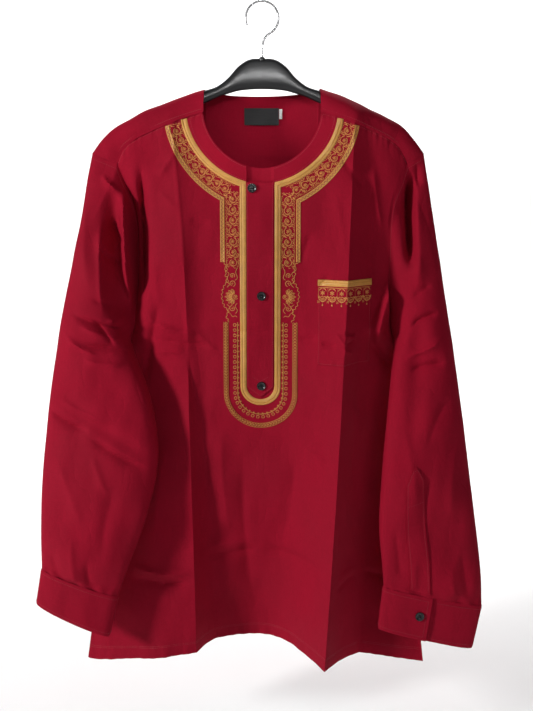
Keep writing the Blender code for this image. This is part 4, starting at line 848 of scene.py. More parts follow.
def cuff_points(side, drop, place):
    """Points of the cuff's outer face: drop 0 at the sleeve seam, 1 at the wrist edge."""
    ring_top = sleeve_rings(side)[-1, 1:]
    edges = [top + (bottom - top) * drop for top, bottom in zip(ring_top, CUFF_BOTTOMS[side])]
    return ring_points(edges, 2 * math.pi * np.mod(place, 1.0))


def neck_arc_path(half_width, drop, end_x, seam_side):
    """Points of a braid's arc from the yoke seam to its corner beside the placket."""
    angle = np.linspace(0.0, math.pi / 2, ARC_POINTS)[1:]
    x = half_width * np.cos(angle) ** (2 / NECK_SQUARENESS)
    down = neck_arc_down(x, half_width, drop)
    below_seam = down > front_top_down(x) + BRAID_SEAM_ROOM
    kept = below_seam & (x > end_x)
    x = np.append(x[kept], end_x)
    down = np.append(down[kept], neck_arc_down(end_x, half_width, drop))
    return seam_side * x, down


def finer(values, split):
    """The same run of numbers with every step cut into equal parts."""
    values = np.asarray(values, float)
    steps = len(values) - 1
    return np.interp(np.arange(steps * split + 1) / split, np.arange(steps + 1), values)


def crest(across):
    """A section that is 1 on the line and falls off evenly on both sides, rounded just at its crest."""
    return np.exp(CREST_ROUNDING - np.sqrt(across**2 + CREST_ROUNDING**2))


def crease_relief(x, down, creases):
    """Height of the creases: sharp-crested sections across bowed lines that fade out towards both ends."""
    relief = np.zeros(np.broadcast(x, down).shape)
    for *line, bow, height, half_width, lower_side in creases:
        share, across, ends = beside_line(x, down, *line, CREASE_END)
        across = across - bow * 4 * share * (1 - share)
        width = half_width * np.where(across > 0, lower_side, 1.0)
        relief += height * ends * crest(across / width)
    return relief


def slow_waves(x, down, phase):
    """The cloth's slow unevenness: a sum of long slanting sine waves."""
    height = np.zeros(np.broadcast(x, down).shape)
    for across, along, start, amount in SLOW_WAVES:
        height += amount * np.sin(2 * math.pi * (across * x + along * down) + start + phase)
    return height


def seam_pucker(distance, along, reach, pitch, height):
    """Little gathers beside a stitched line: an uneven ripple along it that dies away with distance."""
    turn = 2 * math.pi * along / pitch
    ripple = np.sin(turn) + 0.6 * np.sin(turn / 1.73 + 1.1)
    return height * ripple * np.exp(-((distance / reach) ** 2))


def front_relief(x, level):
    """Everything small that stands up from the front's facets: creases, waves and gathers at its seams."""
    strength = sizes().crease_strength
    from_edge = np.minimum(x - side_edge(-1, level)[0], side_edge(1, level)[0] - x)
    relief = strength * crease_relief(x, level, FRONT_CREASES) + slow_waves(x, level, 0.0)
    for name, *numbers in FRONT_LINES:
        if name in PRESSED_LINES:
            line_x = along_rows(level, FOLD_LEVELS, numbers[3::2])
            relief += PRESSED_HEIGHT * crest((x - line_x) / PRESSED_WIDTH)
    relief *= smooth_step(from_edge / EDGE_FADE)
    from_yoke = level - front_top_down(x)
    beside_neck = smooth_step((np.abs(x) - NECK_HALF_WIDTH) / BESIDE_NECK_FADE)
    relief -= YOKE_SEAM_DEPTH * crest(from_yoke / YOKE_SEAM_REACH) * beside_neck
    relief += seam_pucker(from_yoke, x, *YOKE_GATHERS) * beside_neck
    relief += seam_pucker(level - HEM_DOWN, x, *HEM_GATHERS)
    from_border = np.abs(x - BRAID_CENTRE_X) - BORDER_HALF_SPREAD
    relief += seam_pucker(from_border, level, *BORDER_GATHERS) * (level < BORDER_GATHERS_END)
    on_pocket = (x > POCKET_GATHERS_X[0]) & (x < POCKET_GATHERS_X[1])
    relief += seam_pucker(level - POCKET_BOTTOM_LEVEL, x, *POCKET_GATHERS) * on_pocket
    notch = smooth_step((x - PLACKET_RIGHT_X) / NOTCH_SIDE) * smooth_step((PLACKET_LEFT_X - x) / NOTCH_SIDE)
    relief -= NOTCH_DEPTH * notch * smooth_step((PLACKET_TOP_LEVEL + NOTCH_END - level) / NOTCH_END)
    return relief


def on_front(x, level, lift=0.0):
    """A point of the front's outer face, raised towards the viewer by the lift."""
    x, level = np.broadcast_arrays(np.asarray(x, float), np.asarray(level, float))
    y = front_y(x, level) - front_relief(x, level) - lift
    return np.stack([x, y, -hem_down(x, level)], axis=-1)


def on_back(x, level, lift=0.0):
    """A point of the back's outer face, raised away from the wearer by the lift."""
    x, level = np.broadcast_arrays(np.asarray(x, float), np.asarray(level, float))
    relief = crease_relief(x, level, BACK_CREASES) + slow_waves(x, level, 2.0)
    y = back_y(x, level) + sizes().crease_strength * relief + lift
    return np.stack([x, y, -hem_down(x, level)], axis=-1)


def on_sleeve(side, share, place, lift=0.0):
    """A point of a sleeve's outer face with its creases and its gathers at the cuff, raised along y."""
    points = sleeve_points(side, share, place)
    creases = LEFT_SLEEVE_CREASES if side > 0 else RIGHT_SLEEVE_CREASES
    x, down = points[..., 0], -points[..., 2]
    turn = np.sin(2 * math.pi * place)
    fade = smooth_step(share / SLEEVE_FADES[0]) * smooth_step((1 - share) / SLEEVE_FADES[1])
    front = np.clip(turn * FRONT_TURN, 0.0, 1.0) * fade
    back = np.clip(-turn * BACK_TURN, 0.0, 1.0) * fade
    relief = crease_relief(x, down, creases) + slow_waves(x, down, 4.0)
    behind = crease_relief(x + BEHIND_SHIFT[0], down - BEHIND_SHIFT[1], creases)
    behind = np.clip(behind, -BEHIND_LIMIT, BEHIND_LIMIT) + slow_waves(x, down, 5.0)
    from_cuff = (share - 1) * SLEEVE_LENGTH
    gathers = seam_pucker(from_cuff, place * WRIST_ROUND, *CUFF_GATHERS)
    gathers = gathers - CUFF_SEAM_DEPTH * crest(from_cuff / CUFF_SEAM_REACH)
    points[..., 1] += sizes().crease_strength * (behind * back - relief * front)
    points[..., 1] -= (lift + gathers * np.abs(turn)) * np.sign(turn)
    return points


def on_cuff(side, drop, place):
    """A point of a cuff's outer face."""
    points = cuff_points(side, drop, place)
    turn = np.sin(2 * math.pi * np.mod(place, 1.0))
    ripple = CUFF_RIPPLE * np.sin(place * CUFF_RIPPLE_WAVES + 2.0 * side)
    ripple = ripple * np.sin(math.pi * np.clip(drop, 0.0, 1.0))
    points[..., 1] -= ripple * turn
    return points


def surface_frame(surface, a, b, step):
    """Points of a two-parameter surface and its unit normals, from central differences of the given step."""
    points = surface(a, b)
    by_a = surface(a + step, b) - surface(a - step, b)
    by_b = surface(a, b + step) - surface(a, b - step)
    return points, unit(np.cross(by_a, by_b))


def add_mesh(name, points, faces, material, uvs=None, sharp_angle=50.0):
    """A mesh object from points and rows of four corners; where the first two are one, a triangle."""
    used, renumbered = np.unique(faces, return_inverse=True)
    faces = renumbered.reshape(faces.shape)
    pole = faces[:, 0] == faces[:, 1]
    mesh = bpy.data.meshes.new(name)
    mesh.from_pydata(points[used].tolist(), [], faces[~pole].tolist() + faces[pole][:, 1:].tolist())
    if uvs is not None:
        loops = np.concatenate([uvs[~pole].reshape(-1, 2), uvs[pole][:, 1:].reshape(-1, 2)])
        layer = mesh.uv_layers.new(name="UVMap")
        layer.data.foreach_set("uv", loops.astype(np.float32).ravel())
    mesh.shade_smooth()
    mesh.set_sharp_from_angle(angle=math.radians(sharp_angle))
    mesh.materials.append(material)
    piece = bpy.data.objects.new(name, mesh)
    bpy.context.scene.collection.objects.link(piece)
    return piece


def grid_faces(rows, columns, wrap=False):
    """Corner numbers of a grid's cells, as rows of four; a wrapped grid's last column is its first."""
    row, column = np.meshgrid(np.arange(rows), np.arange(columns), indexing="ij")
    following = (column + 1) % columns if wrap else column + 1
    width = columns if wrap else columns + 1
    upper, lower = row * width, (row + 1) * width
    corners = (upper + column, upper + following, lower + following, lower + column)
    return np.stack(corners, axis=-1).reshape(-1, 4)


def face_normals(points, faces):
    """The way each face looks: the cross product of its diagonals."""
    a, b, c, d = (points[faces[:, corner]] for corner in range(4))
    return np.cross(c - a, d - b)


def turned_towards(faces, normals, outwards):
    """The faces, each turned round where its normal is against the given direction."""
    wrong = np.sum(normals * outwards, axis=1) < 0
    return np.where(wrong[:, None], faces[:, ::-1], faces)


def arc_uv(points):
    """Lengths along the rows and the columns at every grid point, from the middle column and the top."""
    across = np.linalg.norm(np.diff(points, axis=1), axis=-1)
    along = np.linalg.norm(np.diff(points, axis=0), axis=-1)
    u = np.concatenate([np.zeros((len(points), 1)), np.cumsum(across, axis=1)], axis=1)
    v = np.concatenate([np.zeros((1, points.shape[1])), np.cumsum(along, axis=0)])
    return np.stack([u - u[:, points.shape[1] // 2, None], -v], axis=-1)


def add_wall(name, outer, inner, material, keep=None, wrap=False):
    """A closed cloth wall: the outer grid, the inner grid turned round, and a rim along each open edge."""
    rows, columns = outer.shape[0] - 1, outer.shape[1] - 1
    uv = arc_uv(outer).reshape(-1, 2)
    uv_faces = grid_faces(rows, columns)
    outer_points = outer[:, :-1] if wrap else outer
    inner_points = inner[:, :-1] if wrap else inner
    faces = grid_faces(rows, columns, wrap)
    if keep is not None:
        faces, uv_faces = faces[keep.ravel()], uv_faces[keep.ravel()]
    outside = outer_points.reshape(-1, 3)
    inside = inner_points.reshape(-1, 3)
    if np.sum(face_normals(outside, faces) * (outside - inside)[faces[:, 0]]) < 0:
        faces, uv_faces = faces[:, ::-1], uv_faces[:, ::-1]
    starts, ends = faces.ravel(), np.roll(faces, -1, axis=1).ravel()
    uv_starts, uv_ends = uv_faces.ravel(), np.roll(uv_faces, -1, axis=1).ravel()
    count = len(outside)
    open_edge = ~np.isin(starts * count + ends, ends * count + starts)
    start, end = starts[open_edge], ends[open_edge]
    rim = np.stack([end, start, start + count, end + count], axis=1)
    rim_uv = np.stack([uv_ends, uv_starts, uv_starts, uv_ends], axis=1)[open_edge]
    every = np.concatenate([faces, faces[:, ::-1] + count, rim])
    every_uv = np.concatenate([uv[uv_faces], uv[uv_faces[:, ::-1]], uv[rim_uv]])
    return add_mesh(name, np.concatenate([outside, inside]), every, material, every_uv)


def mitred_frame(path):
    """Unit normals of a flat path, stretched at its corners so that a strip keeps its width there."""
    runs = unit(np.diff(path, axis=0))
    before = square_to(np.concatenate([runs[:1], runs]))
    after = square_to(np.concatenate([runs, runs[-1:]]))
    middle = unit(before + after)
    return middle / np.maximum(np.sum(middle * after, axis=1, keepdims=True), LEAST_MITRE)


def stepped(path, step):
    """Points an even step apart along a path."""
    length = lengths(path)[-1]
    count = max(2, int(round(length / step)))
    return points_at(path, np.linspace(0.0, length, count + 1))


def add_strip(name, path, width, profile, material, tuck=0.0004):
    """An embroidered border on the front: a raised profile (share across, height) carried along a path."""
    across, height = np.array(profile).T
    grid = path[:, None, :] + mitred_frame(path)[:, None, :] * ((across - 0.5) * width)[None, :, None]
    x, level = grid[..., 0], grid[..., 1]
    outer = on_front(x, level, np.broadcast_to(height, x.shape))
    inner = on_front(x, level, -tuck)
    return add_wall(name, outer, inner, material)


def stroke(points, width, height, pointed=False):
    """One line of embroidery: its points, and a width and height at each that fall off at both ends."""
    points = np.asarray(points, float)
    share = np.linspace(0.0, 1.0, len(points))
    if pointed:
        form = np.sin(math.pi * np.clip(share * 0.94 + 0.03, 0.0, 1.0)) ** 0.8
    else:
        form = np.clip(np.minimum(share, 1 - share) * 12 + 0.45, 0.0, 1.0)
    return points, width * form, height * form


def placed(strokes, centre, turn=0.0, scale=1.0, mirror=False):
    """Copies of strokes, mirrored, scaled, turned and moved to a centre."""
    cos, sin = math.cos(turn), math.sin(turn)
    made = []
    for points, width, height in strokes:
        local = points * (-scale if mirror else scale, scale)
        turned = local @ np.array([(cos, sin), (-sin, cos)])
        made.append((turned + centre, width * scale, height))
    return made


def add_strokes(name, strokes, material, surface=None, tuck=0.0002):
    """Raised thread lines in one mesh: each has a rounded crown whose edges are tucked into the cloth."""
    surface = surface or on_front
    points, faces, uvs = [], [], []
    offsets = np.array([-0.5, 0.0, 0.5])
    count = 0
    for path, width, height in strokes:
        normal = square_to(unit(np.gradient(path, axis=0)))
        across = offsets[None, :] * width[:, None]
        flat = path[:, None] + normal[:, None] * across[..., None]
        crown = np.stack([-tuck + 0 * height, height, -tuck + 0 * height], axis=1)
        cells = grid_faces(len(path) - 1, 2)
        points.append(np.concatenate([flat, crown[..., None]], axis=-1).reshape(-1, 3))
        faces.append(cells + count)
        uv = np.stack(np.broadcast_arrays(across, lengths(path)[:, None]), axis=-1)
        uvs.append(uv.reshape(-1, 2)[cells])
        count += 3 * len(path)
    flat, faces = np.concatenate(points), np.concatenate(faces)
    points = surface(*flat.T)
    x, level, lift = flat[faces[:, 0]].T
    outwards = surface(x, level, lift + 0.001) - surface(x, level, lift)
    faces = turned_towards(faces, face_normals(points, faces), outwards)
    return add_mesh(name, points, faces, material, np.concatenate(uvs), 180.0)


def stitch_line(points, normals, pitch, width, height):
    """Running stitches along a line in space: each is a short raised thread sunk at both ends."""
    length = lengths(points)
    count = max(1, int(length[-1] / pitch))
    middle = (np.arange(count) + 0.5) * length[-1] / count
    at = middle[:, None] + np.array([-0.5, -0.25, 0.25, 0.5]) * pitch * STITCH_FILL
    centre = np.stack([np.interp(at, length, points[:, axis]) for axis in range(3)], axis=-1)
    normal = np.stack([np.interp(at, length, normals[:, axis]) for axis in range(3)], axis=-1)
    side = unit(np.cross(centre[:, -1:] - centre[:, :1], normal))
    rise = np.array([-0.2, 1.0, 1.0, -0.2])[None, :, None] * height
    half = np.array([0.6, 1.0, 1.0, 0.6])[None, :, None] * width / 2
    foot = centre - normal * 0.15 * height
    grid = np.stack([foot - side * half, centre + normal * rise, foot + side * half], axis=2).reshape(-1, 3)
    faces = (grid_faces(3, 2)[None] + (np.arange(count) * 12)[:, None, None]).reshape(-1, 4)
    up = np.repeat(normal[:, :1], 6, axis=1).reshape(-1, 3)
    return grid, turned_towards(faces, face_normals(grid, faces), up)


def add_stitches(name, lines, material, pitch=0.0027, width=0.0006, height=0.00035):
    """Several stitched lines in one mesh; each line is its points and its normals."""
    points, faces, count = [], [], 0
    for path, normals in lines:
        grid, quads = stitch_line(path, normals, pitch, width, height)
        points.append(grid)
        faces.append(quads + count)
        count += len(grid)
    return add_mesh(name, np.concatenate(points), np.concatenate(faces), material, None, 180.0)


def panel_line(surface, a, b, face, step=0.0006):
    """Points and outward normals along a line on a panel; face -1 looks forwards."""
    points, normals = surface_frame(surface, a, b, step)
    return points, normals * np.sign(face * normals[..., 1:2])


def tube_line(surface, a, b, middle):
    """Points and outward normals along a line on a tube, away from the point in its middle."""
    points, normals = surface_frame(surface, a, b, 0.0015)
    away = np.sum(normals * (points - middle), axis=-1, keepdims=True)
    return points, normals * np.sign(away)


def sizes():
    """The scene's sizes."""
    return bpy.context.scene.shirt_sizes


def colours():
    """The scene's colours."""
    return bpy.context.scene.shirt_colours


MIX_COLOUR_A, MIX_COLOUR_B, MIX_COLOUR_RESULT = 6, 7, 2


class Shades:
    """A node tree with short calls for the nodes that the finishes share."""

    def __init__(self, name, colour, roughness):
        self.material = bpy.data.materials.new(name)
        self.material.use_nodes = True
        self.nodes = self.material.node_tree.nodes
        self.links = self.material.node_tree.links
        self.shader = self.nodes["Principled BSDF"]
        self.shader.inputs["Base Color"].default_value = (*colour, 1.0)
        self.shader.inputs["Roughness"].default_value = roughness
        self.coordinates = self.nodes.new("ShaderNodeTexCoord")

    def put(self, socket, value):
        """A link where the value is a socket, and a plain number or vector otherwise."""
        if isinstance(value, bpy.types.NodeSocket):
            self.links.new(value, socket)
        else:
            socket.default_value = value

    def drive(self, name, value):
        """Feed one of the shader's sockets."""
        self.put(self.shader.inputs[name], value)

    def math(self, operation, a, b=0.0, c=0.0):
        """One sum, product or other plain operation on numbers or sockets."""
        node = self.nodes.new("ShaderNodeMath")
        node.operation = operation
        for socket, value in zip(node.inputs, (a, b, c)):
            self.put(socket, value)
        return node.outputs[0]

    def scaled(self, source, scale, turn=0.0):
        """Object or UV coordinates, scaled and turned about the depth axis."""
        node = self.nodes.new("ShaderNodeMapping")
        node.inputs["Scale"].default_value = scale
        node.inputs["Rotation"].default_value = (0.0, 0.0, turn)
        self.links.new(self.coordinates.outputs[source], node.inputs["Vector"])
        return node.outputs[0]

    def noise(self, source, scale, detail=3.0, roughness=0.55, turn=0.0):
        """Soft noise, with features a metre wide divided by the scale, alike all ways or set for each."""
        node = self.nodes.new("ShaderNodeTexNoise")
        node.inputs["Scale"].default_value = 1.0
        node.inputs["Detail"].default_value = detail
        node.inputs["Roughness"].default_value = roughness
        spread = scale if isinstance(scale, tuple) else (scale, scale, scale)
        self.links.new(self.scaled(source, spread, turn), node.inputs["Vector"])
        return node.outputs["Fac"]

    def span(self, value, low, high, from_low=0.0, from_high=1.0):
        """A value carried from one range to another, along a straight line."""
        node = self.nodes.new("ShaderNodeMapRange")
        names = ("From Min", "From Max", "To Min", "To Max")
        for name, number in zip(names, (from_low, from_high, low, high)):
            node.inputs[name].default_value = number
        self.put(node.inputs["Value"], value)
        return node.outputs["Result"]

    def blend(self, share, a, b):
        """A colour between two others."""
        node = self.nodes.new("ShaderNodeMix")
        node.data_type = "RGBA"
        self.put(node.inputs["Factor"], share)
        for number, colour in ((MIX_COLOUR_A, a), (MIX_COLOUR_B, b)):
            node.inputs[number].default_value = (*colour, 1.0)
        return node.outputs[MIX_COLOUR_RESULT]

    def parts(self, vector):
        """The three parts of a vector."""
        node = self.nodes.new("ShaderNodeSeparateXYZ")
        self.links.new(vector, node.inputs[0])
        return node.outputs

    def bump(self, height, strength, distance):
        """Bump on top of any bump that the finish has already."""
        node = self.nodes.new("ShaderNodeBump")
        node.inputs["Strength"].default_value = strength
        node.inputs["Distance"].default_value = distance
        self.links.new(height, node.inputs["Height"])
        normal = self.shader.inputs["Normal"]
        if normal.is_linked:
            self.links.new(normal.links[0].from_socket, node.inputs["Normal"])
        self.links.new(node.outputs["Normal"], normal)

    def finish(self, **inputs):
        """The even values of the shader, by name."""
        for name, value in inputs.items():
            self.shader.inputs[name.replace("_", " ")].default_value = value
        return self.material


def tinted(colour, factor):
    """A colour made lighter or darker."""
    return tuple(min(1.0, channel * factor) for channel in colour)


def plain_weave(shades, pitch):
    """Height of a plain weave: warp and weft as rounded ribs that pass over each other in turn."""
    u, v, _ = shades.parts(shades.scaled("UV", (math.pi / pitch, math.pi / pitch, 1.0)))
    sine_u, sine_v = shades.math("SINE", u), shades.math("SINE", v)
    rib_u, rib_v = shades.math("ABSOLUTE", sine_u), shades.math("ABSOLUTE", sine_v)
    half_u = shades.math("SINE", shades.math("MULTIPLY", u, 0.5))
    half_v = shades.math("SINE", shades.math("MULTIPLY", v, 0.5))
    over = shades.math("MULTIPLY_ADD", shades.math("MULTIPLY", half_u, half_v), 0.5, 0.5)
    under = shades.math("SUBTRACT", 1.0, over)
    return shades.math("MAXIMUM", shades.math("MULTIPLY", rib_u, over), shades.math("MULTIPLY", rib_v, under))


def cloth_finish(name, colour, pitch=0.00042, wear=0.10):
    """Fine plain-woven cotton: thread ribs, slubs along warp and weft, soft wear and a short nap."""
    shades = Shades(name, colour, 0.8)
    weave = plain_weave(shades, pitch)
    warp_slubs = shades.noise("UV", (1500.0, 40.0, 1.0), 2.0)
    weft_slubs = shades.noise("UV", (36.0, 1400.0, 1.0), 2.0)
    slubs = shades.math("ADD", warp_slubs, weft_slubs)
    patches = shades.noise("Object", (9.0, 9.0, 7.0), 4.0)
    speck = shades.noise("Object", 420.0, 2.0)
    shade = shades.span(slubs, -0.16, 0.16, 0.7, 1.3)
    shade = shades.math("ADD", shade, shades.span(patches, -wear, wear, 0.3, 0.7))
    shade = shades.math("ADD", shade, shades.span(speck, -0.10, 0.10, 0.3, 0.7))
    shade = shades.math("ADD", shade, shades.span(weave, -0.10, 0.06))
    mixed = shades.blend(shades.math("ADD", shade, 0.5), tinted(colour, 0.72), tinted(colour, 1.26))
    shades.drive("Base Color", mixed)
    shades.drive("Roughness", shades.span(patches, 0.74, 0.90, 0.3, 0.7))
    shades.bump(weave, 0.35, 0.00010)
    shades.bump(slubs, 0.30, 0.00012)
    shades.bump(shades.noise("Object", 70.0, 3.0), 0.16, 0.0012)
    folds = shades.noise("Object", (22.0, 12.0, 12.0), 2.5, turn=0.5)
    ridged = shades.math("ABSOLUTE", shades.math("SUBTRACT", folds, 0.5))
    shades.bump(shades.math("POWER", ridged, 0.7), 0.5, 0.0035)
    sheen = (min(1.0, colour[0] * 2.4 + 0.1), colour[1] * 4 + 0.05, colour[2] * 4 + 0.08, 1.0)
    return shades.finish(Sheen_Weight=0.07, Sheen_Roughness=0.4, Sheen_Tint=sheen, Specular_IOR_Level=0.10)


def thread_finish(name, colour, across_pitch, slant=0.0, depth=0.0002, satin=True):
    """Laid thread: fine ribs across the run of the stitching, uneven in shade, with a silky gloss."""
    shades = Shades(name, colour, 0.4)
    u, v, _ = shades.parts(shades.scaled("UV", (1.0, 1.0, 1.0)))
    along = shades.math("ADD", v, shades.math("MULTIPLY", u, slant))
    wander = shades.noise("UV", (90.0, 160.0, 1.0), 2.0)
    wander = shades.math("MULTIPLY", wander, 2.2)
    phase = shades.math("MULTIPLY_ADD", along, 2 * math.pi / across_pitch, wander)
    ribs = shades.math("ABSOLUTE", shades.math("SINE", shades.math("MULTIPLY", phase, 0.5)))
    streaks = shades.noise("UV", (120.0, 2600.0, 1.0), 2.0)
    patches = shades.noise("Object", 60.0, 2.0)
    shade = shades.math("ADD", shades.span(ribs, -0.30, 0.22), shades.span(streaks, -0.22, 0.22, 0.3, 0.7))
    shade = shades.math("ADD", shade, shades.span(patches, -0.12, 0.12, 0.3, 0.7))
    mixed = shades.blend(shades.math("ADD", shade, 0.5), tinted(colour, 0.58), tinted(colour, 1.30))
    shades.drive("Base Color", mixed)
    shades.drive("Roughness", shades.span(ribs, 0.52, 0.34 if satin else 0.46))
    shades.bump(ribs, 0.55, depth)
    return shades.finish(Specular_IOR_Level=0.55 if satin else 0.3, Sheen_Weight=0.12, Sheen_Roughness=0.4)


def moulded_finish(name, colour, roughness, grain=900.0):
    """Moulded plastic: a faint orange-peel surface with fine scuffs and a slightly uneven gloss."""
    shades = Shades(name, colour, roughness)
    peel = shades.noise("Object", grain, 2.0)
    scuffs = shades.noise("Object", (60.0, 900.0, 90.0), 4.0, 0.7, 0.6)
    dust = shades.noise("Object", 24.0, 5.0, 0.7)
    mixed = shades.blend(shades.span(dust, 0.0, 0.55, 0.45, 0.75), colour, tinted(colour, 1.9))
    shades.drive("Base Color", mixed)
    even = shades.span(dust, roughness, roughness + 0.10)
    rough = shades.math("ADD", shades.span(scuffs, -0.05, 0.09, 0.4, 0.75), even)
    shades.drive("Roughness", rough)
    shades.bump(peel, 0.10, 0.0001)
    return shades.finish(Specular_IOR_Level=0.5, Coat_Weight=0.15, Coat_Roughness=0.25)


def wire_finish(name, colour):
    """Bright drawn wire: fine lines along the draw and small dull patches."""
    shades = Shades(name, colour, 0.25)
    lines = shades.noise("UV", (2600.0, 30.0, 1.0), 3.0)
    dull = shades.noise("Object", 130.0, 4.0, 0.65)
    mixed = shades.blend(shades.span(dull, 0.0, 0.6, 0.4, 0.8), colour, tinted(colour, 0.72))
    shades.drive("Base Color", mixed)
    rough = shades.math("ADD", shades.span(lines, -0.04, 0.06), shades.span(dull, 0.20, 0.42, 0.4, 0.8))
    shades.drive("Roughness", rough)
    shades.bump(lines, 0.08, 0.00005)
    return shades.finish(Metallic=1.0)


def tape_finish(name, colour, pitch=0.00055):
    """Dense woven tape: narrow ribs, a satin face and faint shade bars."""
    shades = Shades(name, colour, 0.6)
    u, v, _ = shades.parts(shades.scaled("UV", (math.pi / pitch, math.pi / (pitch * 1.6), 1.0)))
    ribs = shades.math("ABSOLUTE", shades.math("SINE", u))
    rows = shades.math("ABSOLUTE", shades.math("SINE", v))
    threads = shades.math("MULTIPLY", ribs, shades.math("MULTIPLY_ADD", rows, 0.5, 0.5))
    bars = shades.noise("UV", (30.0, 700.0, 1.0), 2.0)
    shade = shades.math("ADD", shades.span(threads, 0.25, 0.65), shades.span(bars, -0.2, 0.3, 0.3, 0.7))
    mixed = shades.blend(shade, tinted(colour, 0.65), tinted(colour, 1.5))
    shades.drive("Base Color", mixed)
    shades.drive("Roughness", shades.span(threads, 0.72, 0.5))
    shades.bump(threads, 0.5, 0.00012)
    return shades.finish(Sheen_Weight=0.2, Sheen_Roughness=0.5, Specular_IOR_Level=0.35)


def studio_finish(name, colour):
    """Matt painted board with a faint roller texture."""
    shades = Shades(name, colour, 0.9)
    mottle = shades.noise("Object", 3.0, 3.0)
    shades.drive("Base Color", shades.blend(mottle, tinted(colour, 0.985), tinted(colour, 1.01)))
    shades.bump(shades.noise("Object", 160.0, 2.0), 0.04, 0.0005)
    return shades.finish(Specular_IOR_Level=0.1)


# Each finish: how it is made, the colour it takes and its own numbers
FINISHES = {
    "shirt cotton": (cloth_finish, "cloth"),
    "gold satin stitch": (thread_finish, "border_thread", 0.0009),
    "motif thread": (thread_finish, "motif_thread", 0.0007, 0.5, 0.00015, False),
    "sewing thread": (thread_finish, "sewing_thread", 0.0005, 1.0, 0.0001, False),
    "black sewing thread": (thread_finish, "button", 0.0005, 1.0, 0.0001, False),
    "polished button": (moulded_finish, "button", 0.24),
    "woven label": (tape_finish, "label"),
    "size tab tape": (tape_finish, "tab"),
    "hanger plastic": (moulded_finish, "hanger", 0.30, 700.0),
    "hook wire": (wire_finish, "hook"),
    "studio board": (studio_finish, "studio"),
}


def finish(name):
    """A finish by name, made once."""
    make, colour, *numbers = FINISHES[name]
    return bpy.data.materials.get(name) or make(name, getattr(colours(), colour), *numbers)


def dress(piece, nodes):
    """Ride on the body and stand in for the solids."""
    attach(piece, "root")
    if nodes:
        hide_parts(*nodes)
    return piece


def fine_front():
    """x, down and level of the front's fine grid, and its named columns."""
    places, named = front_columns()
    places = finer(places, COLUMN_SPLIT)
    levels = finer(ROW_LEVELS, ROW_SPLIT)
    top = np.full(places.shape, NECK_TOP)
    for _ in range(TOP_ROW_ROUNDS):
        top = front_top_down(front_x(places, top))
    top[[0, -1]] = YOKE_END_DOWN
    fade = np.clip(1 - (levels - YOKE_END_DOWN) / (FLAT_ROW_DOWN - YOKE_END_DOWN), 0.0, 1.0)
    level = levels[:, None] + (top - YOKE_END_DOWN) * fade[:, None]
    x = front_x(places, level)
    return x, level, {name: column * COLUMN_SPLIT for name, column in named.items()}


def panel_wall(points, thickness, towards):
    """The inner side of a panel: moved along y so that the wall keeps its thickness on slopes."""
    reach = thickness / np.clip(np.abs(grid_normals(points)[..., 1]), STEEPEST, 1.0)
    inner = points.copy()
    inner[..., 1] += towards * reach
    return inner


def build_front():
    """The front panel: the folded height field with its creases, waves and gathers."""
    x, level, _ = fine_front()
    outer = on_front(x, level)
    outer[0, :, 2] += YOKE_TUCK * (np.abs(x[0]) > NECK_HALF_WIDTH)
    inner = panel_wall(outer, sizes().cloth, 1.0)
    piece = add_wall("front_cloth", outer, inner, finish("shirt cotton"))
    return dress(piece, ["front"])


def yoke_columns():
    """Shares of the shoulder at the yoke's columns on the right and on the left."""
    x, _, named = fine_front()
    top = x[0]
    right = (-top[: named["right neck corner"] + 1] - NECK_HALF_WIDTH) / (YOKE_END_X - NECK_HALF_WIDTH)
    left = (top[named["left neck corner"]:] - NECK_HALF_WIDTH) / (YOKE_END_X - NECK_HALF_WIDTH)
    return np.clip(right, 0.0, 1.0), np.clip(left, 0.0, 1.0)


def back_neck_x():
    """x of the columns behind the neck, without the two corners: even steps round a half circle."""
    turns = np.linspace(math.pi, 0.0, BACK_NECK_CELLS * COLUMN_SPLIT + 1)
    return NECK_HALF_WIDTH * np.cos(turns[1:-1])


def build_yoke():
    """The yoke: an arch over each shoulder, joined behind the neck."""
    right, left = yoke_columns()
    turns = np.linspace(0.0, 1.0, ARCH_CELLS * ARCH_SPLIT + 1)
    wings = []
    for side, shares in ((-1, right), (1, left)):
        front_half, front_wall = shoulder_arch(side, shares[None, :], turns[::-1, None] + 0 * shares, -1)
        back_half, back_wall = shoulder_arch(side, shares[None, :], turns[1:, None] + 0 * shares, 1)
        wings.append((np.concatenate([front_half, back_half]), np.concatenate([front_wall, back_wall])))
    middle, middle_wall = back_neck_patch(back_neck_x(), turns)
    empty = np.zeros((len(turns) - 1,) + middle.shape[1:])
    outer = np.concatenate([wings[0][0], np.concatenate([empty, middle]), wings[1][0]], axis=1)
    wall = np.concatenate([wings[0][1], np.concatenate([empty, middle_wall]), wings[1][1]], axis=1)
    rise = slow_waves(outer[..., 0], -outer[..., 2] + 3 * outer[..., 1], 1.0) * 0.8
    from_seam = -outer[..., 2] - SHOULDER[0][3]
    rise += seam_pucker(from_seam, outer[..., 0], *YOKE_BACK_GATHERS) * (outer[..., 1] > YOKE_BACK_FROM_Y)
    row = np.arange(len(outer))
    edge = smooth_step(row / YOKE_EDGE_ROWS) * smooth_step((len(outer) - 1 - row) / YOKE_EDGE_ROWS)
    outer = outer - wall * (rise * edge[:, None])[..., None]
    keep = np.ones((len(outer) - 1, outer.shape[1] - 1), bool)
    keep[:len(turns) - 1, len(right) - 1:-(len(left) - 1)] = False
    inner = outer + sizes().cloth * wall
    piece = add_wall("yoke_cloth", outer, inner, finish("shirt cotton"), keep)
    return dress(piece, ["yoke"])


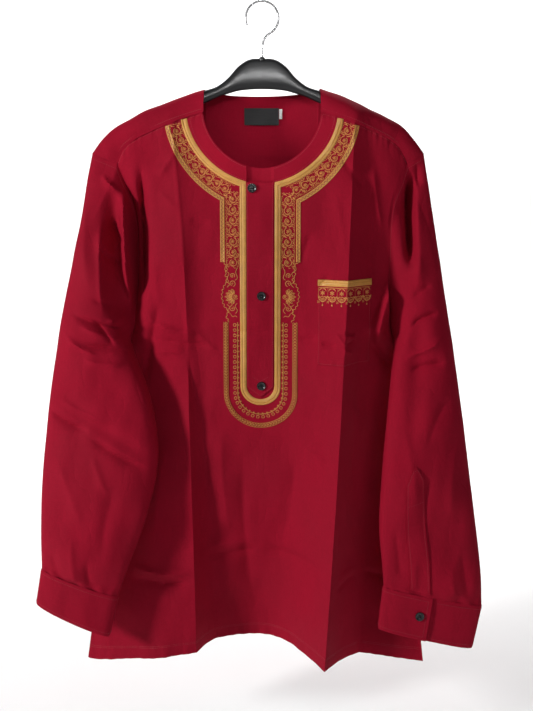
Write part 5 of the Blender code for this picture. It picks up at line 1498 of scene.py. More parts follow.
def back_grid():
    """x and level of the back's fine grid, gridded from the yoke's columns."""
    right, left = yoke_columns()
    width = YOKE_END_X - NECK_HALF_WIDTH
    seam_x = np.concatenate([-NECK_HALF_WIDTH - right * width, back_neck_x(), NECK_HALF_WIDTH + left * width])
    levels = finer(ROW_LEVELS, ROW_SPLIT)
    right_x, left_x = (side_edge(side, levels)[0] for side in (-1, 1))
    share = (seam_x + YOKE_END_X) / (2 * YOKE_END_X)
    x = right_x[:, None] + (left_x - right_x)[:, None] * share
    shoulder_share = np.clip((np.abs(seam_x) - NECK_HALF_WIDTH) / width, 0.0, 1.0)
    fade = np.clip(1 - (levels - YOKE_END_DOWN) / (FLAT_ROW_DOWN - YOKE_END_DOWN), 0.0, 1.0)
    level = levels[:, None] + (shoulder_level(shoulder_share, 3) - YOKE_END_DOWN) * fade[:, None]
    return x, level


def build_back():
    """The back panel."""
    x, level = back_grid()
    outer = on_back(x, level)
    side_fade = smooth_step((x - x[:, :1]) / BACK_SIDE_FADE) * smooth_step((x[:, -1:] - x) / BACK_SIDE_FADE)
    plain = back_y(x, level)
    top_fade = smooth_step((level - level[:1]) / BACK_TOP_FADE)
    outer[..., 1] = plain + (outer[..., 1] - plain) * side_fade * top_fade - YOKE_TUCK * (1 - top_fade) ** 4
    outer[0, :, 2] += YOKE_TUCK
    inner = panel_wall(outer, sizes().cloth, -1.0)
    piece = add_wall("back_cloth", outer, inner, finish("shirt cotton"))
    return dress(piece, ["back"])


def sleeve_grid(side):
    """Outer points of a sleeve, drawn together along its underarm seam."""
    cells = len(armhole_loop(side)[0]) - 1
    share = np.linspace(0.0, 1.0, SLEEVE_ROWS * SLEEVE_ROW_SPLIT + 1)
    place = np.linspace(0.0, 1.0, cells * SLEEVE_PLACE_SPLIT // LOOP_SPLIT + 1)
    share_grid, place_grid = np.meshgrid(share, place, indexing="ij")
    outer = on_sleeve(side, share_grid, place_grid)
    seam = (outer[:, 0] + outer[:, -1]) / 2
    pull = np.clip(1 - np.minimum(place, 1 - place) / SEAM_PULL, 0.0, 1.0)
    first_half, last_half = (seam - outer[:, 0])[:, None], (seam - outer[:, -1])[:, None]
    return outer + np.where(place[None, :, None] < 0.5, first_half, last_half) * pull[None, :, None] ** 2


def build_sleeves():
    """Both sleeves, from the armhole to the cuff."""
    for side, word in SIDES:
        outer = sleeve_grid(side)
        walls = grid_walls(outer, outer.mean(axis=1, keepdims=True))
        walls[:, 0] = walls[:, -1] = unit(walls[:, 0] + walls[:, -1], 0.5)
        inner = outer + sizes().cloth * walls
        piece = add_wall(f"sleeve_{word}_cloth", outer, inner, finish("shirt cotton"), wrap=True)
        dress(piece, [f"sleeve_{word}"])


def cuff_grid(side):
    """Outer points and wall directions of a cuff, with its own buttoned end on top."""
    turn = np.linspace(0.0, 1.0 + CUFF_OVERLAP, CUFF_CELLS * CUFF_SPLIT + 1)
    drop = np.linspace(0.0, 1.0, CUFF_FINE_ROWS)
    drop_grid, place_grid = np.meshgrid(drop, CUFF_END[side] - turn, indexing="ij")
    outer = on_cuff(side, drop_grid, place_grid)
    walls = grid_walls(outer, outer.mean(axis=1, keepdims=True))
    under = smooth_step((turn - 1 + CUFF_OVERLAP) / CUFF_OVERLAP)
    outer = outer + walls * ((sizes().cuff + SEAM_ROOM + CUFF_PROUD) * under - CUFF_PROUD)[None, :, None]
    return outer, walls


def rolled(outer, walls, thickness, edge_rows=3):
    """Outer and inner grids whose first and last rows curl in to a thin rounded edge."""
    row = np.arange(len(outer), dtype=float)
    near = np.minimum(row, len(outer) - 1 - row) / edge_rows
    roll = edge_roll(near) * 0.42 * thickness
    inner = outer + walls * (thickness - roll)[:, None, None]
    return outer + walls * roll[:, None, None], inner


def build_cuffs():
    """Both cuffs: a doubled band round the wrist that ends under its own buttoned end."""
    for side, word in SIDES:
        outer, walls = cuff_grid(side)
        outer, inner = rolled(outer, walls, sizes().cuff)
        piece = add_wall(f"cuff_{word}_cloth", outer, inner, finish("shirt cotton"))
        dress(piece, [f"cuff_{word}"])


def sleeve_placket_grid(side):
    """Share and place of a sleeve placket's grid: long edges that close to a point at the top."""
    low, high, first, last = SLEEVE_PLACKETS[side]
    rows, columns = SLEEVE_PLACKET_GRID
    share_grid, place_grid = np.meshgrid(
        np.linspace(low, high, rows), np.linspace(first, last, columns), indexing="ij")
    middle = (first + last) / 2
    narrowing = np.clip((share_grid - high) / (SLEEVE_PLACKET_POINT * (low - high)), 0.0, 1.0)
    return share_grid, middle + (place_grid - middle) * (0.04 + 0.96 * narrowing)


def build_sleeve_plackets():
    """The pointed strips above both cuffs."""
    for side, word in SIDES:
        share, place = sleeve_placket_grid(side)
        base = on_sleeve(side, share, place)
        inwards = 1.0 if place.mean() < 0.5 else -1.0
        walls = grid_walls(base, base.mean(axis=(0, 1)) + np.array([0.0, inwards, 0.0]))
        outer, inner = rolled(base - walls * SLEEVE_PLACKET_LIFT, walls, SLEEVE_PLACKET_WALL)
        piece = add_wall(f"sleeve_placket_{word}_cloth", outer, inner, finish("shirt cotton"))
        dress(piece, [f"sleeve_placket_{word}"])


def placket_grid():
    """x and level of the front placket's upper layer, down to its point."""
    tip_x, tip_down = PLACKET_TIP
    rows, columns = PLACKET_GRID
    level = np.linspace(PLACKET_TOP_LEVEL, tip_down, rows)
    narrowing = np.clip((level - PLACKET_POINT_FROM) / (tip_down - PLACKET_POINT_FROM), 0.0, 1.0)
    right = PLACKET_RIGHT_X + (tip_x - PLACKET_RIGHT_X) * narrowing
    left = PLACKET_LEFT_X + (tip_x - PLACKET_LEFT_X) * narrowing
    share = np.linspace(0.0, 1.0, columns)
    return right[:, None] + (left - right)[:, None] * share, np.broadcast_to(level[:, None], PLACKET_GRID)


def placket_lift(x, level):
    """How far the placket stands off: flat at its sewn edge, with gapes between buttons at its free edge."""
    share = np.clip((x - PLACKET_RIGHT_X) / (PLACKET_LEFT_X - PLACKET_RIGHT_X), 0.0, 1.0)
    gape = np.zeros_like(x)
    for middle, half, amount in PLACKET_GAPES:
        gape += amount * np.exp(-(((level - middle) / half) ** 2))
    return PLACKET_LIFT + gape * (1 - share) ** 2


def build_placket():
    """The front placket: a doubled band that buttons over the opening."""
    x, level = placket_grid()
    lift = placket_lift(x, level)
    column = np.arange(x.shape[1])
    roll = edge_roll(np.minimum(column, column[::-1]) / 2) * PLACKET_EDGE_ROLL
    outer = on_front(x, level, lift - roll)
    inner = on_front(x, level, lift - PLACKET_WALL + roll)
    piece = add_wall("front_placket_cloth", outer, inner, finish("shirt cotton"))
    return dress(piece, ["front_placket"])


def build_neck_band():
    """The band sewn round the neckline, from its edge to the gold border, open at the placket."""
    half_width, drop = INNER_BRAID_ARC
    for side, word, end_x in ((-1, "right", -PLACKET_RIGHT_X), (1, "left", PLACKET_LEFT_X)):
        angle = np.linspace(0.0, math.pi / 2, NECK_BAND_GRID[0])
        share = np.linspace(0.0, 1.0, NECK_BAND_GRID[1])
        width = NECK_HALF_WIDTH + (half_width - NECK_HALF_WIDTH) * share
        depth = NECK_DROP + (drop - NECK_DROP) * share
        form = np.cos(angle) ** (2 / NECK_SQUARENESS)
        x = form[:, None] * width
        first = np.argmax(form < (NECK_HALF_WIDTH - 0.0004) / NECK_HALF_WIDTH)
        x = np.maximum(x[first:], end_x)
        down = np.stack([neck_arc_down(x[:, i], width[i], depth[i]) for i in range(len(share))], axis=1)
        down = np.maximum(down, front_top_down(x) + 0.0002)
        lift = np.broadcast_to(NECK_BAND_LIFT * np.sqrt(np.clip(share * 8 + 0.1, 0, 1)), x.shape)
        outer = on_front(side * x, down, lift)
        inner = on_front(side * x, down, -0.0001)
        piece = add_wall(f"neck_band_{word}", outer, inner, finish("shirt cotton"))
        dress(piece, [])


def arc_path(half_width, drop, end_x, side, step=0.0012):
    """An arc round the neck from the yoke seam to its corner, in even steps."""
    x, down = neck_arc_path(half_width, drop, end_x, side)
    return stepped(np.stack([x, down], axis=1), step)


def drop_path(x, top, bottom, step=0.0012):
    """A straight line down the front."""
    return stepped(np.array([[x, top], [x, bottom]]), step)


def inner_border_path():
    """The inner border: round the neck, down beside the placket, round its point and up the other side."""
    right = arc_path(*INNER_BRAID_ARC, -INNER_X[-1], -1)
    left = arc_path(*INNER_BRAID_ARC, INNER_X[1], 1)[::-1]
    centre, radius = (INNER_X[1] + INNER_X[-1]) / 2, (INNER_X[1] - INNER_X[-1]) / 2
    angle = np.linspace(math.pi, 0.0, 90)
    turn = (centre, INNER_BRAID_TURN_DOWN) + radius * np.stack([np.cos(angle), np.sin(angle)], axis=1)
    down_right = drop_path(INNER_X[-1], right[-1, 1], INNER_BRAID_TURN_DOWN)
    up_left = drop_path(INNER_X[1], INNER_BRAID_TURN_DOWN, left[0, 1])
    return np.concatenate([right, down_right[1:], turn[1:-1], up_left, left[1:]])


def build_borders():
    """The gold borders: the wide satin one and the narrow roped ones beside it."""
    satin = finish("gold satin stitch")
    piece = add_strip("neck_border_inner", inner_border_path(), INNER_BRAID_WIDTH, INNER_PROFILE, satin)
    dress(piece, ["neck_braid_inner"])
    for side, word in SIDES:
        arc = arc_path(*OUTER_BRAID_ARC, abs(OUTER_X[side]), side)
        path = np.concatenate([arc, drop_path(OUTER_X[side], arc[-1, 1], OUTER_BRAID_END)[1:]])
        piece = add_strip(f"neck_border_outer_{word}", path, OUTER_BRAID_WIDTH, OUTER_PROFILE, satin)
        rope = rope_strokes(path, 0.0013, 0.0056, 0.0009, 0.0012)
        dress(piece, [f"neck_braid_outer_{word}"])
        piece = add_strokes(f"neck_border_rope_{word}", rope, finish("sewing thread"), tuck=-0.0003)
        dress(piece, [])


def rope_strokes(path, swing, pitch, width, height):
    """A wavy thread along a path: a sine about the middle of the border."""
    fine = stepped(path, pitch / 8)
    wave = swing * np.sin(2 * math.pi * lengths(fine) / pitch)
    return [even_stroke(fine, wave[:, None], width, height)]


def even_stroke(path, aside, width, height):
    """A thread line of one width and height, moved aside from a path."""
    return path + mitred_frame(path) * aside, np.full(len(path), width), np.full(len(path), height)


def ring(radius, turns=1.0, start=0.0, steps=22, shrink=0.0):
    """Points of a circle or, with a shrink, of a spiral that winds inwards."""
    share = np.linspace(0.0, 1.0, steps)
    angle = start + share * turns * 2 * math.pi
    reach = radius * (1 - shrink * share)
    return np.stack([reach * np.cos(angle), reach * np.sin(angle)], axis=1)


def curve(points, steps=12):
    """A smooth line through a few points, by cubics through the rows."""
    points = np.asarray(points, float)
    at = np.linspace(0, len(points) - 1, steps)
    knots = np.arange(len(points))
    return np.stack([along_rows(at, knots, points[:, 0]), along_rows(at, knots, points[:, 1])], axis=1)


def dot(spot, radius, width, height, steps=8):
    """A small full ring of thread round a spot."""
    return stroke(ring(radius, steps=steps) + np.array(spot), width, height)


def petals(count, inner, outer, width, height, start=0.0, steps=5):
    """Pointed petals round a centre."""
    made = []
    for number in range(count):
        angle = start + number * 2 * math.pi / count
        way = np.array([math.cos(angle), math.sin(angle)])
        made.append(stroke(way * np.linspace(inner, outer, steps)[:, None], width, height, True))
    return made


def scroll_unit():
    """A curled ring with a small flower in it, in a space 16 mm long and 20 mm wide, y along the border."""
    strokes = [stroke(ring(0.0056, 0.93, -1.35, 30, 0.20), 0.0010, 0.0007)]
    strokes += [stroke(ring(0.0041, 0.62, 1.3, 14, 0.40), 0.0007, 0.0005)]
    strokes += petals(6, 0.0004, 0.0028, 0.0012, 0.0009, 0.3)
    strokes.append(dot((0.0, 0.0), 0.0005, 0.0009, 0.0012))
    leaves = (
        ((0.0012, -0.0058), (0.0040, -0.0074), (0.0082, -0.0070), 0.0013),
        ((0.0030, -0.0088), (0.0062, -0.0098), (0.0088, -0.0086), 0.0011),
        ((-0.0012, -0.0062), (-0.0042, -0.0082), (-0.0084, -0.0076), 0.0013),
        ((-0.0034, -0.0092), (-0.0064, -0.0104), (-0.0090, -0.0094), 0.0011),
        ((0.0058, -0.0020), (0.0080, 0.0004), (0.0078, 0.0034), 0.0011),
        ((-0.0060, 0.0014), (-0.0082, 0.0030), (-0.0080, 0.0056), 0.0011),
        ((0.0066, -0.0044), (0.0088, -0.0034), (0.0092, -0.0008), 0.0009),
        ((-0.0068, -0.0040), (-0.0090, -0.0026), (-0.0088, 0.0004), 0.0009),
        ((0.0050, 0.0042), (0.0072, 0.0052), (0.0090, 0.0042), 0.0009),
        ((-0.0046, 0.0048), (-0.0068, 0.0062), (-0.0088, 0.0052), 0.0009),
        ((0.0004, 0.0064), (0.0022, 0.0078), (0.0050, 0.0074), 0.0009),
        ((0.0066, 0.0010), (0.0056, 0.0026), (0.0066, 0.0036), 0.0008),
    )
    for start, middle, end, width in leaves:
        strokes.append(stroke(curve((start, middle, end), 9), width, 0.0007, True))
    tendril = curve(((0.0046, -0.0036), (0.0020, -0.0084), (-0.0036, -0.0104)), 10)
    strokes.append(stroke(tendril, 0.0008, 0.0006))
    for spot in ((0.0078, -0.0020), (-0.0078, -0.0058), (0.0020, -0.0106), (-0.0058, 0.0036)):
        strokes.append(dot(spot, 0.0004, 0.0008, 0.0009, 7))
    return strokes


def units_along(path, unit, count, first, pitch, swap=True):
    """A repeat placed along a path at an even pitch, turned with it, every second one mirrored."""
    made = []
    for number in range(count):
        at = first + number * pitch
        centre, ahead, behind = points_at(path, np.array([at, at + TURN_REACH, at - TURN_REACH]))
        run = ahead - behind
        turn = math.atan2(run[1], run[0]) - math.pi / 2
        made += placed(unit, centre, turn, mirror=swap and number % 2 == 1)
    return made


def neck_scrolls(side):
    """The row of scrolls between the borders: nine round the neck, seven down beside the placket."""
    arc = arc_path(*SCROLL_ARC, SCROLL_X[side] * side, side)
    corner = arc[-1, 1]
    unit = scroll_unit()
    pitch = (lengths(arc)[-1] - 0.004) / 9.35
    strokes = units_along(arc, unit, 9, 0.004 + pitch * 0.45, pitch)
    straight = drop_path(SCROLL_X[side], corner + 0.004, SCROLL_END)
    strokes += units_along(straight, unit, 7, 0.006, (SCROLL_END - corner - 0.010) / 6.6)
    for path in (arc, straight):
        for offset in (-SCROLL_EDGE, SCROLL_EDGE):
            strokes += rope_strokes(path + mitred_frame(path) * offset, 0.0005, 0.0046, 0.0006, 0.0006)
    spot = (SCROLL_X[side] + side * 0.006, corner + 0.004)
    return strokes + placed(petals(3, 0.001, 0.0075, 0.0020, 0.0007, 0.9, 7), spot)


def shell_fan(side):
    """The shell-like fan of petals with curls above and below it, beside the border's end."""

    def beside(points):
        """Places beside the fan: outwards and down from its middle."""
        return np.array(points) * (side, 1) + (SCROLL_X[side], FAN_DOWN)

    strokes = []
    base = beside((-0.004, 0.001))
    for number in range(-3, 4):
        angle = number * 0.36
        way = np.array([side * math.cos(angle), math.sin(angle)])
        aside = np.array([-way[1], way[0]])
        reach = 0.0150 - 0.0006 * abs(number) ** 1.5
        share = np.linspace(0, 1, 9)[:, None]
        bow = aside * side * 0.0012 * math.sin(angle)
        points = way * (0.0036 + (reach - 0.0036) * share) + bow * share**2
        strokes.append(stroke(base + points, 0.0016, 0.0008, True))
        for hand in (-1, 1):
            outline = (way * 0.0050, way * (reach * 0.7) + hand * aside * 0.0022, way * (reach + 0.0014))
            strokes.append(stroke(base + curve(outline, 9), 0.0008, 0.0008))
    strokes += placed([stroke(ring(0.0034, 0.9, 0.5, 20, 0.35), 0.0010, 0.0007)], base)
    strokes += placed(petals(5, 0.0, 0.0018, 0.0011, 0.0008), base)
    for away, radius, start in ((-0.0185, 0.0046, 1.8), (0.0180, 0.0044, -1.6), (-0.0300, 0.0036, 2.4)):
        centre = beside((0.001, away))
        curl = stroke(ring(radius, 0.95, start, 24, 0.4), 0.0010, 0.0007)
        strokes += placed([curl], centre, mirror=side < 0)
        strokes += placed(petals(4, 0.0002, 0.0017, 0.0011, 0.0008), centre)
    for points in FAN_TENDRILS:
        strokes.append(stroke(curve(beside(points), 16), 0.0009, 0.0007))
    return strokes + rope_strokes(curve(beside(FAN_OUTLINE), 60), 0.0010, 0.0062, 0.0009, 0.0008)


def lower_turn(radius, steps=110):
    """The path beside the lower placket at a radius: down one side, round and up the other."""
    angle = np.linspace(math.pi, 0.0, steps)
    turn = LOWER_CENTRE + radius * np.stack([np.cos(angle), np.sin(angle)], axis=1)
    right = drop_path(LOWER_CENTRE[0] - radius, LOWER_TOP, LOWER_CENTRE[1])
    left = drop_path(LOWER_CENTRE[0] + radius, LOWER_CENTRE[1], LOWER_TOP)
    return np.concatenate([right, turn[1:-1], left])


def lower_rows():
    """The lower embroidery: two crossed ropes beside the border, and rings with small balls."""
    rope_path = lower_turn(ROPE_RADIUS)
    strokes = rope_strokes(rope_path, 0.0006, 0.0034, 0.0007, 0.0008)
    strokes += rope_strokes(rope_path[::-1], 0.0006, 0.0034, 0.0007, 0.0009)
    unit = [
        stroke(ring(0.0021, steps=14), 0.0010, 0.0007),
        stroke(((-0.0030, 0.0), (-0.0044, 0.0)), 0.0009, 0.0007),
        dot((-0.0055, 0.0), 0.0006, 0.0013, 0.0009, 9),
    ]
    path = lower_turn(RING_RADIUS)
    length = lengths(path)[-1]
    count = int(length / RING_PITCH)
    turned = placed(unit, (0.0, 0.0), math.pi)
    return strokes + units_along(path, turned, count, 0.004, (length - 0.008) / (count - 1), False)


def lattice_rows():
    """Crossing zigzags with raised dots between two edge lines, all along the lower border."""
    path = lower_turn(LOWER_BRAID_RADIUS)
    fine = stepped(path, 0.00055)
    strokes = []
    for phase in (0.0, math.pi):
        turn = 2 * math.pi * lengths(fine) / LATTICE_PITCH + phase
        wave = LATTICE_SWING * np.arcsin(np.sin(turn)) * 2 / math.pi
        strokes.append(even_stroke(fine, wave[:, None], 0.0009, 0.0014))
    length = lengths(path)[-1]
    step = LATTICE_PITCH / 2
    count = int(length / step)
    spots = [dot((0.0, 0.0), 0.0006, 0.0013, 0.0020, 7)]
    strokes += units_along(path, spots, count, step / 2, (length - step) / (count - 1), False)
    return strokes + [even_stroke(path, edge, 0.0006, 0.0012) for edge in (-LATTICE_EDGE, LATTICE_EDGE)]


def build_scrolls():
    """The embroidery between and below the borders."""
    thread = finish("motif thread")
    strokes = neck_scrolls(-1) + neck_scrolls(1) + shell_fan(-1) + shell_fan(1)
    dress(add_strokes("neck_scroll_embroidery", strokes, thread), [])
    dress(add_strokes("placket_ring_embroidery", lower_rows(), thread), [])
    base = add_strip("placket_border_lower", lower_turn(LOWER_BRAID_RADIUS), 0.0062, LATTICE_PROFILE,
                     finish("shirt cotton"))
    dress(base, ["placket_braid_lower"])
    dress(add_strokes("placket_lattice_embroidery", lattice_rows(), thread, tuck=-0.0002), [])


def pocket_spot(across, drop):
    """x and level of a place on the pocket, by its share across and its distance below the opening."""
    level = POCKET_TOP_LEVEL + drop
    xs = np.stack(fold_lines(FRONT_LINES, 3, level, -1)[0])
    names = [line[0] for line in FRONT_LINES]
    right = xs[names.index("left neck corner") + 1]
    left = xs[names.index("left soft fold") + 1]
    return right + (left - right) * across, level


def on_pocket(across, drop, lift=0.0):
    """A point of the pocket's face, raised by the lift."""
    across, drop = np.broadcast_arrays(np.asarray(across, float), np.asarray(drop, float))
    x, level = pocket_spot(across, drop)
    return on_front(x, level, POCKET_LIFT + lift)


def build_pocket():
    """The chest pocket with its gold band and the lace under it."""
    depth = POCKET_BOTTOM_LEVEL - POCKET_TOP_LEVEL
    rows, columns = POCKET_GRID
    across, drop = np.meshgrid(np.linspace(0, 1, columns), np.linspace(0, depth, rows))
    edge = np.minimum.reduce([across, 1 - across, (depth - drop) / 0.09]) / 0.012
    gape = pocket_gape(across, drop)
    outer = on_pocket(across, drop, gape - edge_roll(edge) * 0.0008)
    inner = on_pocket(across, drop, gape - POCKET_WALL)
    piece = add_wall("pocket_cloth", outer, inner, finish("shirt cotton"))
    dress(piece, ["pocket"])
    rows, columns = POCKET_BAND_GRID
    across, drop = np.meshgrid(
        np.linspace(-0.008, 1.008, columns), np.linspace(-0.0004, POCKET_BRAID_HEIGHT, rows))
    height = np.interp(np.linspace(0, 1, rows), *np.array(INNER_PROFILE).T)[:, None]
    gape = pocket_gape(across, drop)
    outer = on_pocket(across, drop, gape + height)
    inner = on_pocket(across, drop, gape - 0.0002)
    gold = finish("gold satin stitch")
    piece = add_wall("pocket_band", outer.transpose(1, 0, 2), inner.transpose(1, 0, 2), gold)
    dress(piece, ["pocket_braid"])
    piece = add_strokes("pocket_lace_embroidery", pocket_lace(), finish("motif thread"), on_pocket_flat)
    dress(piece, [])


def pocket_gape(across, drop):
    """How far the pocket stands open: most near the middle of its opening, dying away below it."""
    height, middle, spread, reach = POCKET_GAPE
    return height * np.exp(-((across - middle) / spread) ** 2) * np.exp(-np.maximum(drop, 0) / reach)


def on_pocket_flat(across, drop, lift):
    """The pocket's face by distances: across in metres from its right edge, and down from its opening."""
    share = across / POCKET_WIDTH
    return on_pocket(share, drop, lift + pocket_gape(share, drop))


def pocket_lace():
    """The lace-like repeat under the band: arches with flowers, a lower chain and hanging drops."""
    strokes = []
    pitch = POCKET_WIDTH / POCKET_REPEATS
    for number in range(POCKET_REPEATS):
        edge = number * pitch
        middle = edge + 0.5 * pitch
        arch = ring(1.0, 0.5, math.pi, 14) * (pitch * 0.46, 0.0085) * (1, -1)
        strokes.append(stroke(arch + (middle, 0.0225), 0.0011, 0.0006))
        strokes += placed(petals(6, 0.0006, 0.0036, 0.0016, 0.0007, 0.5), (middle, 0.0185))
        strokes.append(dot((middle, 0.0185), 0.0005, 0.0009, 0.0010))
        for hand in (-1, 1):
            leaf = curve(((0.0, 0.0125), (hand * 0.0032, 0.0128), (hand * 0.0054, 0.0160)), 9)
            strokes.append(stroke(leaf + (middle, 0.0), 0.0014, 0.0006, True))
            curl = ring(0.0019, 0.8, 1.2, 12, 0.4) * (hand, 1)
            strokes.append(stroke(curl + (middle + hand * pitch * 0.36, 0.0265), 0.0010, 0.0006))
        strokes.append(dot((middle, 0.0285), 0.0022, 0.0011, 0.0006, 14))
        strokes += placed(petals(4, 0.0, 0.0013, 0.0009, 0.0008), (middle, 0.0285))
        strokes.append(stroke(((middle, 0.0315), (middle, 0.0345)), 0.0009, 0.0006))
        strokes.append(dot((middle, 0.0360), 0.0007, 0.0014, 0.0009, 9))
        strokes.append(stroke(((edge + 0.0006, 0.0110), (edge + 0.0006, 0.0240)), 0.0010, 0.0006))
        strokes += placed(petals(4, 0.0004, 0.0021, 0.0013, 0.0007, 0.8), (edge + 0.0008, 0.0315))
    line = np.stack([np.linspace(0.0008, POCKET_WIDTH - 0.0008, 90), np.full(90, 0.0108)], axis=1)
    strokes.append(stroke(line, 0.0010, 0.0006))
    return strokes + rope_strokes(line + (0.0, 0.0132), 0.0008, 0.0042, 0.0010, 0.0006)


def turned_button(centre, facing, name):
    """A four-hole button: a turned profile with a raised rim and a dished middle, sunk round each hole."""
    radius = BUTTON_RADIUS
    reach = np.concatenate([np.linspace(0.0, 0.95, 30), BUTTON_EDGE[:, 0]]) * radius
    angle = np.linspace(0, 2 * math.pi, 65)
    reach_grid, angle_grid = np.meshgrid(reach, angle, indexing="ij")
    profile = np.concatenate([np.interp(np.linspace(0, 0.95, 30), *BUTTON_FACE), BUTTON_EDGE[:, 1]])
    height = np.broadcast_to(profile[:, None], reach_grid.shape).copy()
    u, v = reach_grid * np.cos(angle_grid), reach_grid * np.sin(angle_grid)
    for hand_u in (-1, 1):
        for hand_v in (-1, 1):
            away = np.hypot(u - hand_u * HOLE_SPREAD, v - hand_v * HOLE_SPREAD)
            height -= 0.0011 * smooth_step((HOLE_RADIUS - away) / 0.0004 + 0.5) * (reach_grid < 0.8 * radius)
    faces = grid_faces(len(reach) - 1, len(angle) - 1, True)
    flat = np.stack([u, v, height], axis=-1)[:, :-1].reshape(-1, 3)
    ring_count = len(angle) - 1
    faces = np.where(faces < ring_count, 0, faces)
    first = faces[:ring_count]
    faces[:ring_count] = np.stack([first[:, 0], first[:, 0], first[:, 2], first[:, 3]], axis=1)
    facing = np.asarray(facing, float)
    across = np.cross([0.0, 0.0, 1.0], facing)
    across /= np.linalg.norm(across)
    upright = np.cross(facing, across)
    turn = np.stack([across, upright, facing])
    points = flat @ turn + centre
    a, b, c = (points[faces[-1, i]] for i in range(3))
    if np.cross(c - a, points[faces[-1, 3]] - b) @ (a - centre) < 0:
        faces = faces[:, ::-1]
        low = faces[:ring_count]
        faces[:ring_count] = np.stack([low[:, 3], low[:, 3], low[:, 0], low[:, 1]], axis=1)
    piece = add_mesh(name, points, faces, finish("polished button"), None, 40.0)
    strands = []
    for hand in (-1, 1):
        start = np.array([hand * HOLE_SPREAD, -HOLE_SPREAD, -0.0001])
        end = np.array([hand * HOLE_SPREAD, HOLE_SPREAD, -0.0001])
        for shift in (-0.00025, 0.00025):
            share = np.linspace(0, 1, 9)[:, None]
            path = start + (end - start) * share + np.array([shift, 0, 0])
            path[:, 2] += 0.0008 * np.sin(math.pi * share[:, 0])
            strands.append(path @ turn + centre)
    return piece, strands


def tube(path, radius, sides=10):
    """Rings of points of a round tube along a path, each end closed by a ring shrunk to the path's end point.
    """
    run = np.gradient(path, axis=0)
    run /= np.maximum(np.linalg.norm(run, axis=1, keepdims=True), 1e-12)
    steady = np.array([0.0, 1.0, 0.0]) if abs(run[:, 1]).max() < 0.9 else np.array([1.0, 0.0, 0.0])
    side = np.cross(run, steady)
    side /= np.linalg.norm(side, axis=1, keepdims=True)
    other = np.cross(side, run)
    angle = np.arange(sides + 1) * 2 * math.pi / sides
    radius = np.broadcast_to(radius, (len(path),))
    loops = path[:, None] + radius[:, None, None] * (
        side[:, None] * np.cos(angle)[None, :, None] + other[:, None] * np.sin(angle)[None, :, None]
    )
    first, last = (np.repeat(end[:, None], sides + 1, 1) for end in (path[:1], path[-1:]))
    loops = np.concatenate([first, loops, last])
    return loops


def add_tube(name, path, radius, material, sides=10):
    """A round tube as a mesh object: rings along a path, with a closed pole at each end."""
    loops = tube(path, radius, sides)
    rows = len(loops) - 1
    faces = grid_faces(rows, sides, True)
    uv = arc_uv(loops).reshape(-1, 2)[grid_faces(rows, sides)]
    points = loops[:, :-1].reshape(-1, 3)
    first, last = faces[:sides], faces[-sides:]
    pole_top = np.stack([np.zeros(sides, int), np.zeros(sides, int), first[:, 2], first[:, 3]], axis=1)
    end = rows * sides
    pole_end = np.stack([np.full(sides, end), np.full(sides, end), last[:, 0], last[:, 1]], axis=1)
    faces = np.concatenate([pole_top, faces[sides:-sides], pole_end])
    middle = faces[len(faces) // 2]
    a, b, c, d = points[middle]
    centre = path[len(path) // 2]
    if np.cross(c - a, d - b) @ (a - centre) < 0:
        turned = faces[:, ::-1].copy()
        for part in (slice(0, sides), slice(len(faces) - sides, len(faces))):
            turned[part] = np.stack([faces[part, 0], faces[part, 0], faces[part, 3], faces[part, 2]], axis=1)
        faces = turned
    return add_mesh(name, points, faces, material, uv, 60.0)


def build_buttons():
    """The placket's three buttons and one on each cuff, each sewn on with a doubled thread."""
    spots = []
    for number, (x, down) in enumerate(PLACKET_BUTTONS, start=1):
        lift = placket_lift(np.array(x), np.array(down))
        centre = on_front(np.array(x), np.array(down), lift + BUTTON_HEIGHT / 2 + 0.0003)
        spots.append((f"placket_button_{number}", centre, (0.0, -1.0, 0.0)))
    for side, word in SIDES:
        share = CUFF_BUTTON_SHARE[side]
        low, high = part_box(f"cuff_button_{word}")
        centre = (np.array(low) + np.array(high)) / 2
        step = 0.02
        patch = cuff_points(side, np.array([CUFF_BUTTON_RISE] * 3 + [0.35, 0.55]),
                            np.array([share - step, share, share + step, share, share]))
        normal = np.cross(patch[2] - patch[0], patch[4] - patch[3])
        normal /= np.linalg.norm(normal)
        outward = -1.0 if share < 0.5 else 1.0
        spots.append((f"cuff_button_{word}", centre, normal * np.sign(normal[1]) * outward))
    for name, centre, facing in spots:
        piece, strands = turned_button(np.asarray(centre, float), facing, f"{name}_turned")
        dress(piece, [name])
        for number, path in enumerate(strands):
            thread = add_tube(f"{name}_thread_{number}", path, 0.00024, finish("black sewing thread"), 6)
            dress(thread, [])


def build_labels():
    """The plain woven label and the white size tab inside the back neck."""
    for name, node, x_range, spread, slot, material in (
        ("neck_label_tape", "neck_label", LABEL_X, LABEL_SPREAD, "woven_label", "woven label"),
        ("size_tab_tape", "size_tab", TAB_X, TAB_SPREAD, "size_tab", "size tab tape"),
    ):
        x = np.linspace(*x_range, 45)
        turns = np.linspace(*spread, 31)
        base, walls = back_neck_patch(x, turns)
        across = np.linspace(0, 1, 45)[None, :]
        down = np.linspace(0, 1, 31)[:, None]
        bow = 0.0010 * np.sin(math.pi * across) * down + 0.0004 * np.sin(across * 9.0 + down * 3.0)
        fold = 0.0005 * np.exp(-((np.minimum(across, 1 - across) / 0.03) ** 2))
        near = base + walls * (CAD_CLOTH + LABEL_CLEARANCE + bow + fold)[..., None]
        piece = add_wall(name, near + walls * 0.0005, near, finish(material))
        dress(piece, [node])


